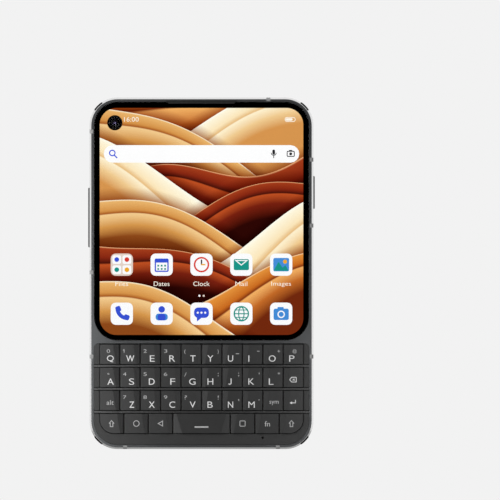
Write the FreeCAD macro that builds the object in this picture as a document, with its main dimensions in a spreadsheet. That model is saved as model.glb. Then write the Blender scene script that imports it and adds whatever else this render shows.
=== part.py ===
import FreeCAD, Part
import math
import os
import re

import Sketcher

# A bar phone with a fixed keyboard under its display, in millimetres.
# It stands on its bottom edge. The origin is the middle of that edge, +Z runs up the phone,
# +X is to the right of the person who looks at the display, and the display faces -Y.

# Driving dimensions. Each can be changed by itself.
SIZES = {
    # Frame
    "body_width": (75.0, "frame over its side walls"),
    "corner_round": (9.4, "radius of the four corners seen from the front"),
    "lip_front": (5.275, "front lip of the frame in front of the origin"),
    "edge_bevel": (0.55, "bright bevel along the front and rear edges"),
    "rim_width": (1.45, "outer edge of the frame to the cover glass"),
    "bottom_rim": (1.4, "outer edge of the frame to the keyboard bezel"),
    "deck_strip": (1.05, "metal strip between the cover glass and the keyboard"),
    "wall_thick": (2.0, "walls of the frame"),
    "plate_thick": (1.0, "plates of the frame behind the display and the keyboard"),
    "cavity_depth": (6.2, "space behind the display's plate"),
    "inner_round": (0.8, "small inner corners of the frame"),
    "fit_gap": (0.05, "gap round pieces that are set into a seat"),
    "end_flat": (0.2, "flat between the two rounds of a narrow slot's end"),
    # Display
    "glass_height": (79.9, "cover glass, up the phone"),
    "glass_thick": (0.8, "cover glass"),
    "glass_proud": (0.2, "cover glass in front of the lip"),
    "glass_edge": (0.25, "rounded front edge of the cover glass"),
    "lit_border": (1.75, "edge of the cover glass to the lit picture"),
    "lit_round": (5.7, "corner radius of the lit picture"),
    "gasket_inset": (0.2, "edge of the cover glass to the black gasket"),
    "gasket_thick": (0.2, "black gasket behind the glass"),
    "display_overlap": (0.8, "display panel past the lit picture"),
    "display_thick": (1.0, "display panel"),
    "display_gap": (0.15, "gap round the display panel"),
    # Front camera and earpiece
    "camera_side": (8.45, "front camera from the frame's left side"),
    "camera_drop": (8.45, "front camera from the frame's top"),
    "camera_hole": (2.5, "radius of the hole in the display"),
    "camera_barrel": (2.3, "radius of the front camera's barrel"),
    "camera_base": (6.4, "side of the front camera's housing"),
    "camera_base_thick": (1.6, "front camera's housing"),
    "earpiece_width": (24.0, "earpiece mesh, along its upper edge"),
    "earpiece_taper": (1.15, "earpiece mesh, drawn in at each lower corner"),
    "earpiece_height": (0.95, "earpiece mesh"),
    "earpiece_thick": (0.6, "earpiece mesh"),
    "earpiece_notch": (0.6, "how far the mesh reaches into the glass"),
    "earpiece_sink": (0.1, "mesh behind the glass's front face"),
    "receiver_width": (12.0, "receiver capsule, across the phone"),
    "receiver_height": (6.0, "receiver capsule, up the phone"),
    "receiver_thick": (2.0, "receiver capsule"),
    "duct_width": (8.0, "sound duct from the receiver to the mesh"),
    "duct_height": (0.5, "sound duct"),
    # Keyboard
    "key_field_margin": (3.25, "frame's side to the field of keys"),
    "chin_height": (3.85, "bezel under the lowest keys"),
    "row_pitch": (7.73, "row to row"),
    "key_height": (6.6, "key cap, up the phone"),
    "key_gap": (0.4, "gap between two caps of a row"),
    "wide_key_pitch": (8.2, "column to column of the lowest row's outer keys"),
    "top_gap": (0.35, "highest key caps to the metal strip"),
    "opening_gap": (0.1, "bezel's openings round the caps"),
    "key_corner_round": (4.6, "outer lower corner of the two lowest corner keys"),
    "bezel_thick": (1.0, "keyboard bezel"),
    "bezel_round": (1.5, "upper corners of the keyboard bezel"),
    "fret_width": (0.74, "metal fret between two rows"),
    "fret_thick": (0.55, "metal fret"),
    "fret_seat": (0.5, "depth of a fret's channel"),
    "ridge_proud": (0.65, "ridge of a key in front of the lip"),
    "face_slope": (0.05, "fall of a key's broad face for each millimetre across"),
    "facet_slope": (0.2, "fall of a key's facet for each millimetre across"),
    "facet_low": (1.0, "facet across a key's lower edge"),
    "facet_high": (2.1, "facet across a key's upper edge"),
    "space_facet_low": (3.0, "facet across the space key's lower edge"),
    "space_facet_high": (1.0, "facet across the space key's upper edge"),
    "flange_reach": (0.25, "flange of a key behind the bezel"),
    "flange_thick": (0.45, "flange of a key"),
    "key_play": (0.05, "play of a key against its stops"),
    "key_travel": (0.35, "how far a key goes in"),
    "nub_radius": (0.9, "nub of the rubber mat behind a key"),
    "nub_height": (0.25, "nub of the rubber mat"),
    "mat_thick": (0.3, "rubber mat"),
    "dome_radius": (2.1, "snap dome under a key"),
    "dome_top": (1.3, "radius of a snap dome's flat top"),
    "dome_height": (0.2, "snap dome"),
    "key_board_thick": (0.6, "keyboard's circuit board"),
    "bezel_ledge": (1.2, "ledge of the frame under the bezel"),
    "key_board_gap": (0.3, "gap round the keyboard's board and mat"),
    "mic_hole": (0.4, "radius of the hole for the front microphone"),
    "mic_side": (20.5, "front microphone from the middle"),
    "mic_rise": (2.3, "front microphone above the bezel's lower edge"),
    # Inserts in the frame
    "band_length": (1.3, "antenna band along the edge"),
    "band_depth": (1.2, "antenna band into the wall"),
    "band_low": (31.0, "lowest bands of the sides above the bottom"),
    "band_left_middle": (58.6, "left middle band below the top"),
    "band_left_high": (11.4, "left upper band below the top"),
    "band_right_middle": (42.9, "right middle band below the top"),
    "band_right_high": (20.8, "right upper band below the top"),
    "band_top_side": (22.4, "top band from the middle"),
    "band_bottom_side": (25.6, "bottom bands from the middle"),
    "bumper_length": (3.6, "rubber bumper across its corner"),
    "bumper_depth": (0.5, "rubber bumper into the corner"),
    "bumper_proud": (0.12, "rubber bumper out of the corner"),
    "bumper_end": (0.2, "rubber bumper short of the frame's front and rear"),
    # Back
    "cover_inset": (0.65, "outer edge of the frame to the back cover"),
    "cover_rise": (1.4, "back cover behind the frame"),
    "cover_thick": (0.8, "back cover"),
    "cover_round": (1.1, "rounded rear edge of the back cover"),
    "cover_rim": (0.8, "rim of the cover that goes into the frame"),
    "cover_rim_wall": (0.8, "wall of that rim"),
    "collar_width": (60.0, "collar of the camera window, across the phone"),
    "collar_height": (22.4, "collar of the camera window, up the phone"),
    "collar_drop": (7.8, "top of the frame to the collar"),
    "collar_round": (3.4, "corner radius of the collar"),
    "collar_proud": (0.8, "collar behind the back cover"),
    "collar_wall": (0.5, "wall of the collar round the camera window"),
    "window_sink": (0.1, "camera window short of the collar's edge"),
    "window_thick": (0.85, "camera window"),
    "window_ledge": (0.8, "ledge under the camera window"),
    "lens_side": (20.5, "outer rear camera from the middle"),
    "lens_spacing": (12.5, "rear camera to rear camera"),
    "lens_radius": (3.6, "barrel of a rear camera"),
    "lens_housing": (10.0, "side of a rear camera's housing"),
    "lens_housing_thick": (4.8, "housing of a rear camera"),
    "lens_sink": (0.1, "rear camera's barrel short of the window's face"),
    "flash_side": (23.0, "flash from the middle"),
    "flash_radius": (2.2, "flash lens"),
    "flash_stem": (1.7, "radius of the flash's body"),
    # Boards and battery
    "board_drop": (3.2, "top of the frame to the main board"),
    "board_height": (28.2, "main board, up the phone"),
    "board_side": (3.4, "frame's side to the main board"),
    "board_lift": (2.8, "main board behind the display's plate"),
    "board_thick": (0.8, "main board and port board"),
    "notch_gap": (0.25, "main board to a rear camera"),
    "can_height": (1.7, "shield can"),
    "can_length": (16.5, "shield cans, up the phone"),
    "can_width": (25.0, "large shield can, across the phone"),
    "small_can_width": (5.5, "small shield can, across the phone"),
    "can_side": (2.2, "main board's side to a shield can"),
    "battery_side": (4.5, "frame's side to the battery"),
    "battery_rise": (2.0, "battery above the keyboard's upper wall"),
    "battery_height": (46.0, "battery, up the phone"),
    "battery_thick": (5.8, "battery"),
    "glue_gap": (0.1, "layer of glue behind a plate"),
    "inside_gap": (0.4, "loose pieces to the walls beside them"),
    # Port and loudspeaker
    "port_lift": (2.05, "middle of the port behind the keyboard's plate"),
    "port_width": (8.94, "port shell"),
    "port_thick": (3.16, "port shell"),
    "port_depth": (7.35, "port shell, into the phone"),
    "port_wall": (0.3, "wall of the port shell"),
    "port_sink": (0.3, "port shell above the bottom face"),
    "tongue_width": (6.7, "tongue in the port"),
    "tongue_thick": (0.7, "tongue in the port"),
    "tongue_sink": (1.2, "tongue above the port shell's mouth"),
    "port_back_wall": (0.9, "closed end of the port shell"),
    "port_board_width": (27.0, "port board, across the phone"),
    "port_board_height": (12.0, "port board, up the phone"),
    "speaker_side": (15.0, "loudspeaker from the middle"),
    "speaker_width": (14.5, "loudspeaker, across the phone"),
    "speaker_height": (14.0, "loudspeaker, up the phone"),
    "speaker_thick": (3.6, "loudspeaker"),
    "grille_side": (15.5, "first grille hole from the middle"),
    "grille_step": (2.0, "grille hole to grille hole"),
    "grille_hole": (0.6, "radius of a grille hole"),
    # Side keys and card tray
    "side_lift": (1.9, "middle of the side keys behind the display's plate"),
    "side_key_thick": (2.4, "side key, across the wall"),
    "side_key_proud": (0.45, "side key out of the wall"),
    "side_key_edge": (0.3, "rounded outer edge of a side key"),
    "side_key_gap": (0.15, "slot round a side key"),
    "side_flange_gap": (0.35, "flange of a side key to the wall"),
    "side_flange_thick": (0.5, "flange of a side key"),
    "side_flange_reach": (0.4, "flange past the side key"),
    "volume_length": (20.0, "volume key"),
    "volume_drop": (40.2, "top of the frame to the volume key's middle"),
    "power_length": (11.0, "power key"),
    "power_drop": (31.8, "top of the frame to the power key's middle"),
    "tray_drop": (20.8, "top of the frame to the card tray's middle"),
    "tray_face_length": (14.8, "face of the card tray"),
    "tray_face_thick": (2.2, "face of the card tray, across the wall"),
    "tray_face_depth": (0.9, "face of the card tray, into the wall"),
    "tray_length": (12.0, "body of the card tray, up the phone"),
    "tray_thick": (1.3, "body of the card tray"),
    "tray_reach": (16.0, "body of the card tray, into the phone"),
    "tray_gap": (0.1, "gap round the card tray"),
    "tray_rim": (1.0, "rim of the card tray round its cards"),
    "tray_floor": (0.4, "floor of the card tray"),
    "reader_wall": (0.2, "sheet metal round the card tray"),
    "eject_hole": (0.4, "radius of the ejector hole"),
    # Screws
    "screw_head": (1.2, "radius of a screw's head"),
    "screw_head_height": (0.6, "height of a screw's head"),
    "screw_shank": (0.7, "radius of a screw's shank"),
    "screw_length": (2.4, "screw under its head"),
    "screw_gap": (0.03, "gap round a screw's shank"),
    "boss_radius": (1.6, "boss that takes a screw"),
    "screw_side": (6.2, "screws at the main board's sides from the frame's side"),
    "screw_rise": (1.7, "lower screws above the main board's edge"),
    "screw_fall": (2.6, "upper screws below the main board's edge"),
    "screw_inner": (14.0, "inner upper screw from the middle"),
    "port_screw_side": (11.0, "port board's screws from the middle"),
    "port_screw_fall": (2.2, "port board's screws below its upper edge"),
}

# Keys from the lowest row up, and from left to right in each row.
KEY_ROWS = [
    ["shift_left", "circle", "back", "space", "square", "fn", "shift_right"],
    ["alt", "z", "x", "c", "v", "b", "n", "m", "sym", "enter"],
    ["a", "s", "d", "f", "g", "h", "j", "k", "l", "backspace"],
    ["q", "w", "e", "r", "t", "y", "u", "i", "o", "p"],
]
COLUMNS = len(KEY_ROWS[-1])
ROW_STEPS = len(KEY_ROWS) - 1

# Sound holes in the bottom face on each side of the port.
GRILLE_HOLES = 5

# Places and sizes that follow from the driving dimensions, each written once.
PLACES = {
    # How far a cutter stands past the solid that it cuts, and past a cap on both its sides.
    "past": "0.5",
    "crown_past": "4",
    # Up the phone
    "half_width": "body_width / 2",
    "first_row_bottom": "bottom_rim + chin_height",
    "keyboard_top": f"first_row_bottom + {ROW_STEPS} * row_pitch + key_height + top_gap",
    "glass_bottom": "keyboard_top + deck_strip",
    "glass_middle": "glass_bottom + glass_height / 2",
    "glass_top": "glass_bottom + glass_height",
    "body_height": "glass_top + rim_width",
    # From the front to the back
    "lip_y": "-lip_front",
    "glass_front_y": "lip_y - glass_proud",
    "glass_back_y": "glass_front_y + glass_thick",
    "display_front_y": "glass_back_y + gasket_thick",
    "plate_front_y": "display_front_y + display_thick",
    "plate_back_y": "plate_front_y + plate_thick",
    "frame_rear_y": "plate_back_y + cavity_depth",
    "frame_thick": "(frame_rear_y - lip_y)",
    "bezel_back_y": "lip_y + bezel_thick",
    "key_back_y": "bezel_back_y + key_play + flange_thick",
    "nub_front_y": "key_back_y + key_travel + key_play",
    "mat_front_y": "nub_front_y + nub_height",
    "mat_back_y": "mat_front_y + mat_thick",
    "key_board_front_y": "mat_back_y + dome_height",
    "floor_front_y": "key_board_front_y + key_board_thick",
    "floor_back_y": "floor_front_y + plate_thick",
    # Display
    "glass_width": "body_width - 2 * rim_width - 2 * fit_gap",
    "glass_round": "corner_round - rim_width - fit_gap",
    "lit_width": "glass_width - 2 * lit_border",
    "lit_height": "glass_height - 2 * lit_border",
    "display_width": "lit_width + 2 * display_overlap",
    "display_height": "lit_height + 2 * display_overlap",
    "display_round": "lit_round + display_overlap",
    "camera_x": "camera_side - half_width",
    "camera_z": "body_height - camera_drop",
    "mesh_middle": "glass_top - earpiece_notch + earpiece_height / 2",
    "mesh_back_y": "glass_front_y + earpiece_sink + earpiece_thick",
    # Keyboard
    "key_field_width": "body_width - 2 * key_field_margin",
    "column_pitch": f"key_field_width / {COLUMNS}",
    "row_gap": "row_pitch - key_height",
    "ridge_y": "lip_y - ridge_proud - key_back_y",
    "bezel_width": "body_width - 2 * bottom_rim - 2 * fit_gap",
    "bezel_bottom": "bottom_rim + fit_gap",
    "bezel_top": "keyboard_top - fit_gap",
    "bezel_corner": "corner_round - bottom_rim - fit_gap",
    "well_side": "bottom_rim + bezel_ledge",
    "well_width": "body_width - 2 * well_side",
    "key_board_width": "well_width - 2 * key_board_gap",
    "key_board_bottom": "well_side + key_board_gap",
    "key_board_top": "keyboard_top - key_board_gap",
    "key_board_corner": "corner_round - key_board_bottom",
    # Back
    "cavity_corner": "corner_round - wall_thick",
    "cover_rear_y": "frame_rear_y + cover_rise",
    "cover_inner_y": "cover_rear_y - cover_thick",
    "cover_corner": "corner_round - cover_inset",
    "rim_side": "wall_thick + fit_gap",
    "hollow_side": "rim_side + cover_rim_wall",
    "collar_rear_y": "cover_rear_y + collar_proud",
    "window_rear_y": "collar_rear_y - window_sink",
    "window_front_y": "window_rear_y - window_thick",
    "window_middle": "body_height - collar_drop - collar_height / 2",
    "window_side": "collar_wall + fit_gap",
    "window_width": "collar_width - 2 * window_side",
    "window_height": "collar_height - 2 * window_side",
    "window_round": "collar_round - window_side",
    # Boards
    "board_top": "body_height - board_drop",
    "board_bottom": "board_top - board_height",
    "board_corner": "corner_round - board_side",
    "board_front_y": "plate_back_y + board_lift",
    "board_back_y": "board_front_y + board_thick",
    "port_y": "floor_back_y + port_lift",
    "port_board_y": "port_y + port_thick / 2",
    "port_board_bottom": "hollow_side + inside_gap",
    "port_board_top": "port_board_bottom + port_board_height",
    "port_round": "(port_thick - end_flat) / 2",
    "port_end": "port_sink + port_depth - port_back_wall",
    # Side keys and card tray
    "wall_inner": "half_width - wall_thick",
    "side_y": "plate_back_y + side_lift",
    "side_key_round": "(side_key_thick - end_flat) / 2",
    "side_flange_outer": "wall_inner - side_flange_gap",
    "volume_z": "body_height - volume_drop",
    "power_z": "body_height - power_drop",
    "tray_z": "body_height - tray_drop",
    "tray_face_inner": "half_width - tray_face_depth",
    "tray_face_round": "(tray_face_thick - end_flat) / 2",
    "tray_end": "tray_face_inner - tray_reach",
    "eject_z": "tray_z - (tray_length / 2 + tray_face_length / 2) / 2",
    "reader_gap": "tray_gap + reader_wall",
    "reader_front_y": "side_y - tray_thick / 2 - reader_gap",
}

# Screws of the main board and of the port board, as their places across and up the phone.
MAIN_SCREWS = [
    ("screw_side - half_width", "board_bottom + screw_rise"),
    ("half_width - screw_side", "board_bottom + screw_rise"),
    ("-screw_inner", "board_top - screw_fall"),
    ("half_width - screw_side", "board_top - screw_fall"),
]
PORT_SCREWS = [
    ("-port_screw_side", "port_board_top - port_screw_fall"),
    ("port_screw_side", "port_board_top - port_screw_fall"),
]

# The left and the right of the phone, as factors of a place across it.
LEFT, RIGHT = -1, 1

WORD = re.compile(r"[a-z][a-z_]*[a-z]")

doc = FreeCAD.newDocument("KeyboardPhone")
sheet = doc.addObject("Spreadsheet::Sheet", "Sizes")


def fill_sheet():
    for row, (alias, (number, note)) in enumerate(SIZES.items(), start=1):
        sheet.set(f"A{row}", note)
        sheet.set(f"B{row}", str(number))
        sheet.setAlias(f"B{row}", alias)
    doc.recompute()


def bound(text):
    """The expression on the sheet's cells for a text that names sizes and places."""

    def spelled_out(match):
        word = match.group(0)
        if word in PLACES:
            return "(" + bound(PLACES[word]) + ")"
        if word in SIZES:
            return "Sizes." + word
        raise ValueError(f"no size or place is named {word}")

    return WORD.sub(spelled_out, str(text))


def value(text):
    """The number that a text about sizes gives now."""
    return float(sheet.evalExpression(bound(text)))


def bind(thing, prop, text):
    thing.setExpression(prop, bound(text))


# Sketches


def new_sketch(body, name, plane, across, along, level):
    """A sketch on an origin plane of its body, moved along the plane and off it."""
    sketch = body.newObject("Sketcher::SketchObject", name)
    support = next(f for f in body.Origin.OriginFeatures if f.Role == plane + "_Plane")
    sketch.AttachmentSupport = [(support, "")]
    sketch.MapMode = "FlatFace"
    bind(sketch, "AttachmentOffset.Base.x", across)
    bind(sketch, "AttachmentOffset.Base.y", along)
    # The normal of the XZ plane points to -Y.
    bind(sketch, "AttachmentOffset.Base.z", f"-({level})" if plane == "XZ" else level)
    return sketch


def constrain(sketch, kind, *where):
    sketch.addConstraint(Sketcher.Constraint(kind, *where))


def measure(sketch, name, text, kind, *where):
    """A dimension of a sketch, which the sheet drives."""
    index = sketch.addConstraint(Sketcher.Constraint(kind, *where, value(text)))
    sketch.renameConstraint(index, name)
    bind(sketch, "Constraints." + name, text)


def every(radius):
    return (radius, radius, radius, radius)


def lower(radius):
    return (radius, radius, None, None)


def lower_and_upper(low, high):
    return (low, low, high, high)


SQUARE = every(None)


def draw_outline(sketch, width, height, rounds):
    """A rectangle about the sketch's origin. The rounds are the radii of its corners,
    anticlockwise from the lower left one, and None leaves a corner square."""
    across, up = value(width) / 2, value(height) / 2
    corners = [(-across, -up), (across, -up), (across, up), (-across, up)]
    ways = [(1, 0), (0, 1), (-1, 0), (0, -1)]
    radii = [value(text) if text else 0 for text in rounds]
    sides = []
    for i, (way_x, way_y) in enumerate(ways):
        last = (i + 1) % 4
        start = (corners[i][0] + way_x * radii[i], corners[i][1] + way_y * radii[i])
        end = (corners[last][0] - way_x * radii[last], corners[last][1] - way_y * radii[last])
        line = Part.LineSegment(FreeCAD.Vector(*start, 0), FreeCAD.Vector(*end, 0))
        sides.append(sketch.addGeometry(line, False))
        constrain(sketch, "Vertical" if way_x == 0 else "Horizontal", sides[i])
    for i in range(4):
        if rounds[i]:
            centre_x = corners[i][0] + (ways[i][0] - ways[i - 1][0]) * radii[i]
            centre_y = corners[i][1] + (ways[i][1] - ways[i - 1][1]) * radii[i]
            centre = FreeCAD.Vector(centre_x, centre_y, 0)
            circle = Part.Circle(centre, FreeCAD.Vector(0, 0, 1), radii[i])
            first = math.pi * (1 + i / 2)
            arc = Part.ArcOfCircle(circle, first, first + math.pi / 2)
            index = sketch.addGeometry(arc, False)
            constrain(sketch, "Tangent", sides[i - 1], 2, index, 1)
            constrain(sketch, "Tangent", index, 2, sides[i], 1)
            measure(sketch, f"round_{i}", rounds[i], "Radius", index)
        else:
            constrain(sketch, "Coincident", sides[i - 1], 2, sides[i], 1)
    measure(sketch, "to_bottom", f"({height}) / 2", "DistanceY", sides[0], 1, -1, 1)
    measure(sketch, "to_right", f"({width}) / 2", "DistanceX", -1, 1, sides[1], 1)
    measure(sketch, "to_top", f"({height}) / 2", "DistanceY", -1, 1, sides[2], 1)
    measure(sketch, "to_left", f"({width}) / 2", "DistanceX", sides[3], 1, -1, 1)


def draw_circle(sketch, radius):
    circle = Part.Circle(FreeCAD.Vector(), FreeCAD.Vector(0, 0, 1), value(radius))
    index = sketch.addGeometry(circle, False)
    constrain(sketch, "Coincident", index, 3, -1, 1)
    measure(sketch, "radius", radius, "Radius", index)


def hold_point(sketch, name, kind, text, index, end):
    """Sets one coordinate of a point. A dimension is positive, so its ends swap places."""
    if value(text) < 0:
        measure(sketch, name, f"-({text})", kind, index, end, -1, 1)
    else:
        measure(sketch, name, text, kind, -1, 1, index, end)


def draw_polygon(sketch, points):
    places = [FreeCAD.Vector(value(x), value(y), 0) for x, y in points]
    count = len(places)
    for i in range(count):
        sketch.addGeometry(Part.LineSegment(places[i], places[(i + 1) % count]), False)
    for i, (x, y) in enumerate(points):
        constrain(sketch, "Coincident", i, 2, (i + 1) % count, 1)
        hold_point(sketch, f"corner_{i}_across", "DistanceX", x, i, 1)
        hold_point(sketch, f"corner_{i}_up", "DistanceY", y, i, 1)


# Features of a body


def new_body(label):
    body = doc.addObject("PartDesign::Body", label)
    body.Label = label
    return body


def add_feature(body, kind, name, sketch, length):
    feature = body.newObject("PartDesign::" + kind, name)
    feature.Profile = sketch
    bind(feature, "Length", length)
    body.Tip = feature
    return feature


def pad_plate(body, name, front, back, size, middle, rounds=SQUARE):
    """Adds a plate between two depths, with its width and height about its middle."""
    sketch = new_sketch(body, name + "_outline", "XZ", *middle, back)
    draw_outline(sketch, *size, rounds)
    return add_feature(body, "Pad", name, sketch, f"({back}) - ({front})")


def pocket_plate(body, name, front, back, size, middle, rounds=SQUARE):
    """Takes out what pad_plate would add."""
    sketch = new_sketch(body, name + "_outline", "XZ", *middle, front)
    draw_outline(sketch, *size, rounds)
    return add_feature(body, "Pocket", name, sketch, f"({back}) - ({front})")


def pocket_bore(body, name, front, back, middle, radius):
    """Takes out a round hole along Y between two depths."""
    sketch = new_sketch(body, name + "_outline", "XZ", *middle, front)
    draw_circle(sketch, radius)
    return add_feature(body, "Pocket", name, sketch, f"({back}) - ({front})")


def pad_to_side(body, name, side, inner, outer, size, height, rounds=SQUARE):
    """Adds a bar along X in one half of the phone, between two distances from its middle."""
    level = f"-({outer})" if side == LEFT else inner
    sketch = new_sketch(body, name + "_outline", "YZ", "side_y", height, level)
    draw_outline(sketch, *size, rounds)
    return add_feature(body, "Pad", name, sketch, f"({outer}) - ({inner})")


def pocket_to_side(body, name, side, inner, outer, size, height, rounds=SQUARE):
    """Takes out what pad_to_side would add."""
    level = f"-({inner})" if side == LEFT else outer
    sketch = new_sketch(body, name + "_outline", "YZ", "side_y", height, level)
    draw_outline(sketch, *size, rounds)
    return add_feature(body, "Pocket", name, sketch, f"({outer}) - ({inner})")


def edges_in_plane(feature, axis, place):
    """Names of the feature's edges that lie wholly in a plane across an axis."""
    close = 1e-6
    names = []
    for number, edge in enumerate(feature.Shape.Edges, start=1):
        low = getattr(edge.BoundBox, axis + "Min")
        high = getattr(edge.BoundBox, axis + "Max")
        if abs(low - place) < close and abs(high - place) < close:
            names.append(f"Edge{number}")
    return names


def dress(body, kind, name, size, *planes):
    """Bevels or rounds the edges of a body's last feature that lie in the planes given."""
    doc.recompute()
    base = body.Tip
    edges = []
    for axis, place in planes:
        edges += edges_in_plane(base, axis, value(place))
    feature = body.newObject("PartDesign::" + kind, name)
    feature.Base = (base, edges)
    bind(feature, "Size" if kind == "Chamfer" else "Radius", size)
    body.Tip = feature
    return feature


# Primitives and booleans


def set_place(thing, x, y, z):
    for axis, text in (("x", x), ("y", y), ("z", z)):
        bind(thing, "Placement.Base." + axis, text)


def make_box(name, lowest, size):
    """A box from its lowest corner and its sides along X, Y and Z."""
    box = doc.addObject("Part::Box", name)
    for prop, text in zip(("Length", "Width", "Height"), size):
        bind(box, prop, text)
    set_place(box, *lowest)
    return box


def make_round(kind, name, middle, front, back, *radii):
    """A cylinder or a cone along Y between two depths."""
    thing = doc.addObject("Part::" + kind, name)
    turned = FreeCAD.Rotation(FreeCAD.Vector(1, 0, 0), -90)
    thing.Placement = FreeCAD.Placement(FreeCAD.Vector(), turned)
    props = ("Radius",) if kind == "Cylinder" else ("Radius1", "Radius2")
    for prop, text in zip(props, radii):
        bind(thing, prop, text)
    bind(thing, "Height", f"({back}) - ({front})")
    set_place(thing, middle[0], front, middle[1])
    return thing


def fuse(label, *pieces):
    whole = doc.addObject("Part::MultiFuse", label)
    whole.Label = label
    whole.Shapes = list(pieces)
    return whole


def gather(label, *pieces):
    """Pieces that lie apart and belong to one sub-part."""
    whole = doc.addObject("Part::Compound", label)
    whole.Label = label
    whole.Links = list(pieces)
    return whole


def combine(kind, label, base, tool):
    result = doc.addObject("Part::" + kind, label)
    result.Label = label
    result.Base = base
    result.Tool = tool
    return result


# Frame


def pad_bar(body, prefix):
    """The frame's outside: a rounded bar with a bevel along its front and rear edges."""
    pad_plate(
        body, prefix + "_bar", "lip_y", "frame_rear_y", ("body_width", "body_height"),
        (0, "body_height / 2"), every("corner_round"),
    )
    dress(
        body, "Chamfer", prefix + "_bevel", "edge_bevel", ("Y", "lip_y"), ("Y", "frame_rear_y")
    )


def cut_display_seat(body):
    middle = (0, "glass_middle")
    pocket_plate(
        body, "glass_seat", "lip_y", "display_front_y",
        ("glass_width + 2 * fit_gap", "glass_height + 2 * fit_gap"), middle,
        every("glass_round + fit_gap"),
    )
    pocket_plate(
        body, "display_seat", "display_front_y", "plate_front_y",
        ("display_width + 2 * display_gap", "display_height + 2 * display_gap"), middle,
        every("display_round + display_gap"),
    )
    pocket_bore(
        body, "camera_bore", "plate_front_y", "plate_back_y", ("camera_x", "camera_z"),
        "camera_barrel + 2 * display_gap",
    )


def draw_mesh(sketch, gap):
    """The earpiece's trapezoid about the sketch's origin, its longer side on top."""
    top = f"earpiece_width / 2 + {gap}"
    low = f"earpiece_width / 2 - earpiece_taper + {gap}"
    up = f"earpiece_height / 2 + {gap}"
    draw_polygon(
        sketch,
        [(f"-({low})", f"-({up})"), (low, f"-({up})"), (top, up), (f"-({top})", up)],
    )


def pocket_mesh(body, name, front, back, gap):
    sketch = new_sketch(body, name + "_outline", "XZ", 0, "mesh_middle", front)
    draw_mesh(sketch, gap)
    add_feature(body, "Pocket", name, sketch, f"({back}) - ({front})")


def cut_earpiece_seat(body):
    """The mesh's notch in the rim, and the duct from the mesh down into the cavity."""
    pocket_mesh(body, "mesh_notch", "lip_y", "mesh_back_y", "fit_gap")
    pocket_plate(
        body, "sound_duct", "lip_y", "plate_back_y", ("duct_width", "duct_height"),
        (0, "mesh_middle"),
    )
    fall = "(mesh_middle - (body_height - wall_thick) + duct_height / 2 + past)"
    pocket_plate(
        body, "duct_turn", "plate_back_y", "plate_back_y + receiver_thick",
        ("duct_width", fall), (0, f"mesh_middle + duct_height / 2 - {fall} / 2"),
    )


def cut_keyboard_seat(body):
    seat = "keyboard_top - bottom_rim"
    pocket_plate(
        body, "bezel_seat", "lip_y", "bezel_back_y", ("body_width - 2 * bottom_rim", seat),
        (0, "(keyboard_top + bottom_rim) / 2"),
        lower_and_upper("corner_round - bottom_rim", "bezel_round + fit_gap"),
    )
    well = "keyboard_top - well_side"
    pocket_plate(
        body, "key_well", "bezel_back_y", "floor_front_y", ("well_width", well),
        (0, "(keyboard_top + well_side) / 2"),
        lower_and_upper("corner_round - well_side", "inner_round"),
    )


def cut_cavities(body):
    """The space for the battery and the boards, deeper behind the display's plate."""
    width = "body_width - 2 * wall_thick"
    pocket_plate(
        body, "rear_cavity", "floor_back_y", "frame_rear_y",
        (width, "body_height - 2 * wall_thick"), (0, "body_height / 2"),
        every("cavity_corner"),
    )
    bottom, top = "(keyboard_top + plate_thick)", "(body_height - wall_thick)"
    pocket_plate(
        body, "display_cavity", "plate_back_y", "floor_back_y", (width, f"{top} - {bottom}"),
        (0, f"({top} + {bottom}) / 2"), lower_and_upper("inner_round", "cavity_corner"),
    )


def cut_side_slots(body):
    inner, outer = "wall_inner - past", "half_width + past"
    key_thick = "side_key_thick + 2 * side_key_gap"
    for name, side, height, length in side_keys():
        pocket_to_side(
            body, f"{name}_slot", side, inner, outer, (key_thick, f"{length} + 2 * side_key_gap"),
            height, every("side_key_round + side_key_gap"),
        )
    pocket_to_side(
        body, "tray_slot", LEFT, inner, outer,
        ("tray_thick + 2 * tray_gap", "tray_length + 2 * tray_gap"), "tray_z",
    )
    pocket_to_side(
        body, "tray_face_seat", LEFT, "tray_face_inner", outer,
        ("tray_face_thick + 2 * tray_gap", "tray_face_length + 2 * tray_gap"), "tray_z",
        every("tray_face_round + tray_gap"),
    )
    cut_eject_hole(body, "eject_bore", inner)


def cut_eject_hole(body, name, inner):
    sketch = new_sketch(body, name + "_outline", "YZ", "side_y", "eject_z", f"-({inner})")
    draw_circle(sketch, "eject_hole")
    add_feature(body, "Pocket", name, sketch, f"half_width + past - ({inner})")


def cut_bottom_holes(body):
    """The port's slot, with a row of sound holes on each side of it."""
    level = "wall_thick + past"
    length = "wall_thick + 2 * past"
    slot = new_sketch(body, "port_slot_outline", "XY", 0, "port_y", level)
    size = ("port_width + 2 * fit_gap", "port_thick + 2 * fit_gap")
    draw_outline(slot, *size, every("port_round + fit_gap"))
    add_feature(body, "Pocket", "port_slot", slot, length)
    for side in (LEFT, RIGHT):
        for step in range(GRILLE_HOLES):
            name = f"grille_{'left' if side == LEFT else 'right'}_{step}"
            across = f"{side} * (grille_side + {step} * grille_step)"
            hole = new_sketch(body, name + "_outline", "XY", across, "port_y", level)
            draw_circle(hole, "grille_hole")
            add_feature(body, "Pocket", name, hole, length)


def add_boss(body, name, middle, plate, board):
    """A pillar from a plate to a board, with a hole for a screw's shank."""
    pillar = new_sketch(body, name + "_outline", "XZ", *middle, board)
    draw_circle(pillar, "boss_radius")
    add_feature(body, "Pad", name, pillar, f"{board} - {plate}")
    tip = f"{board} + board_thick - screw_length"
    pocket_bore(
        body, name + "_hole", f"{tip} - fit_gap", board, middle, "screw_shank + screw_gap"
    )


def add_bosses(body):
    for number, middle in enumerate(MAIN_SCREWS):
        add_boss(body, f"main_boss_{number}", middle, "plate_back_y", "board_front_y")
    for number, middle in enumerate(PORT_SCREWS):
        add_boss(body, f"port_boss_{number}", middle, "floor_back_y", "port_board_y")


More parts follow.
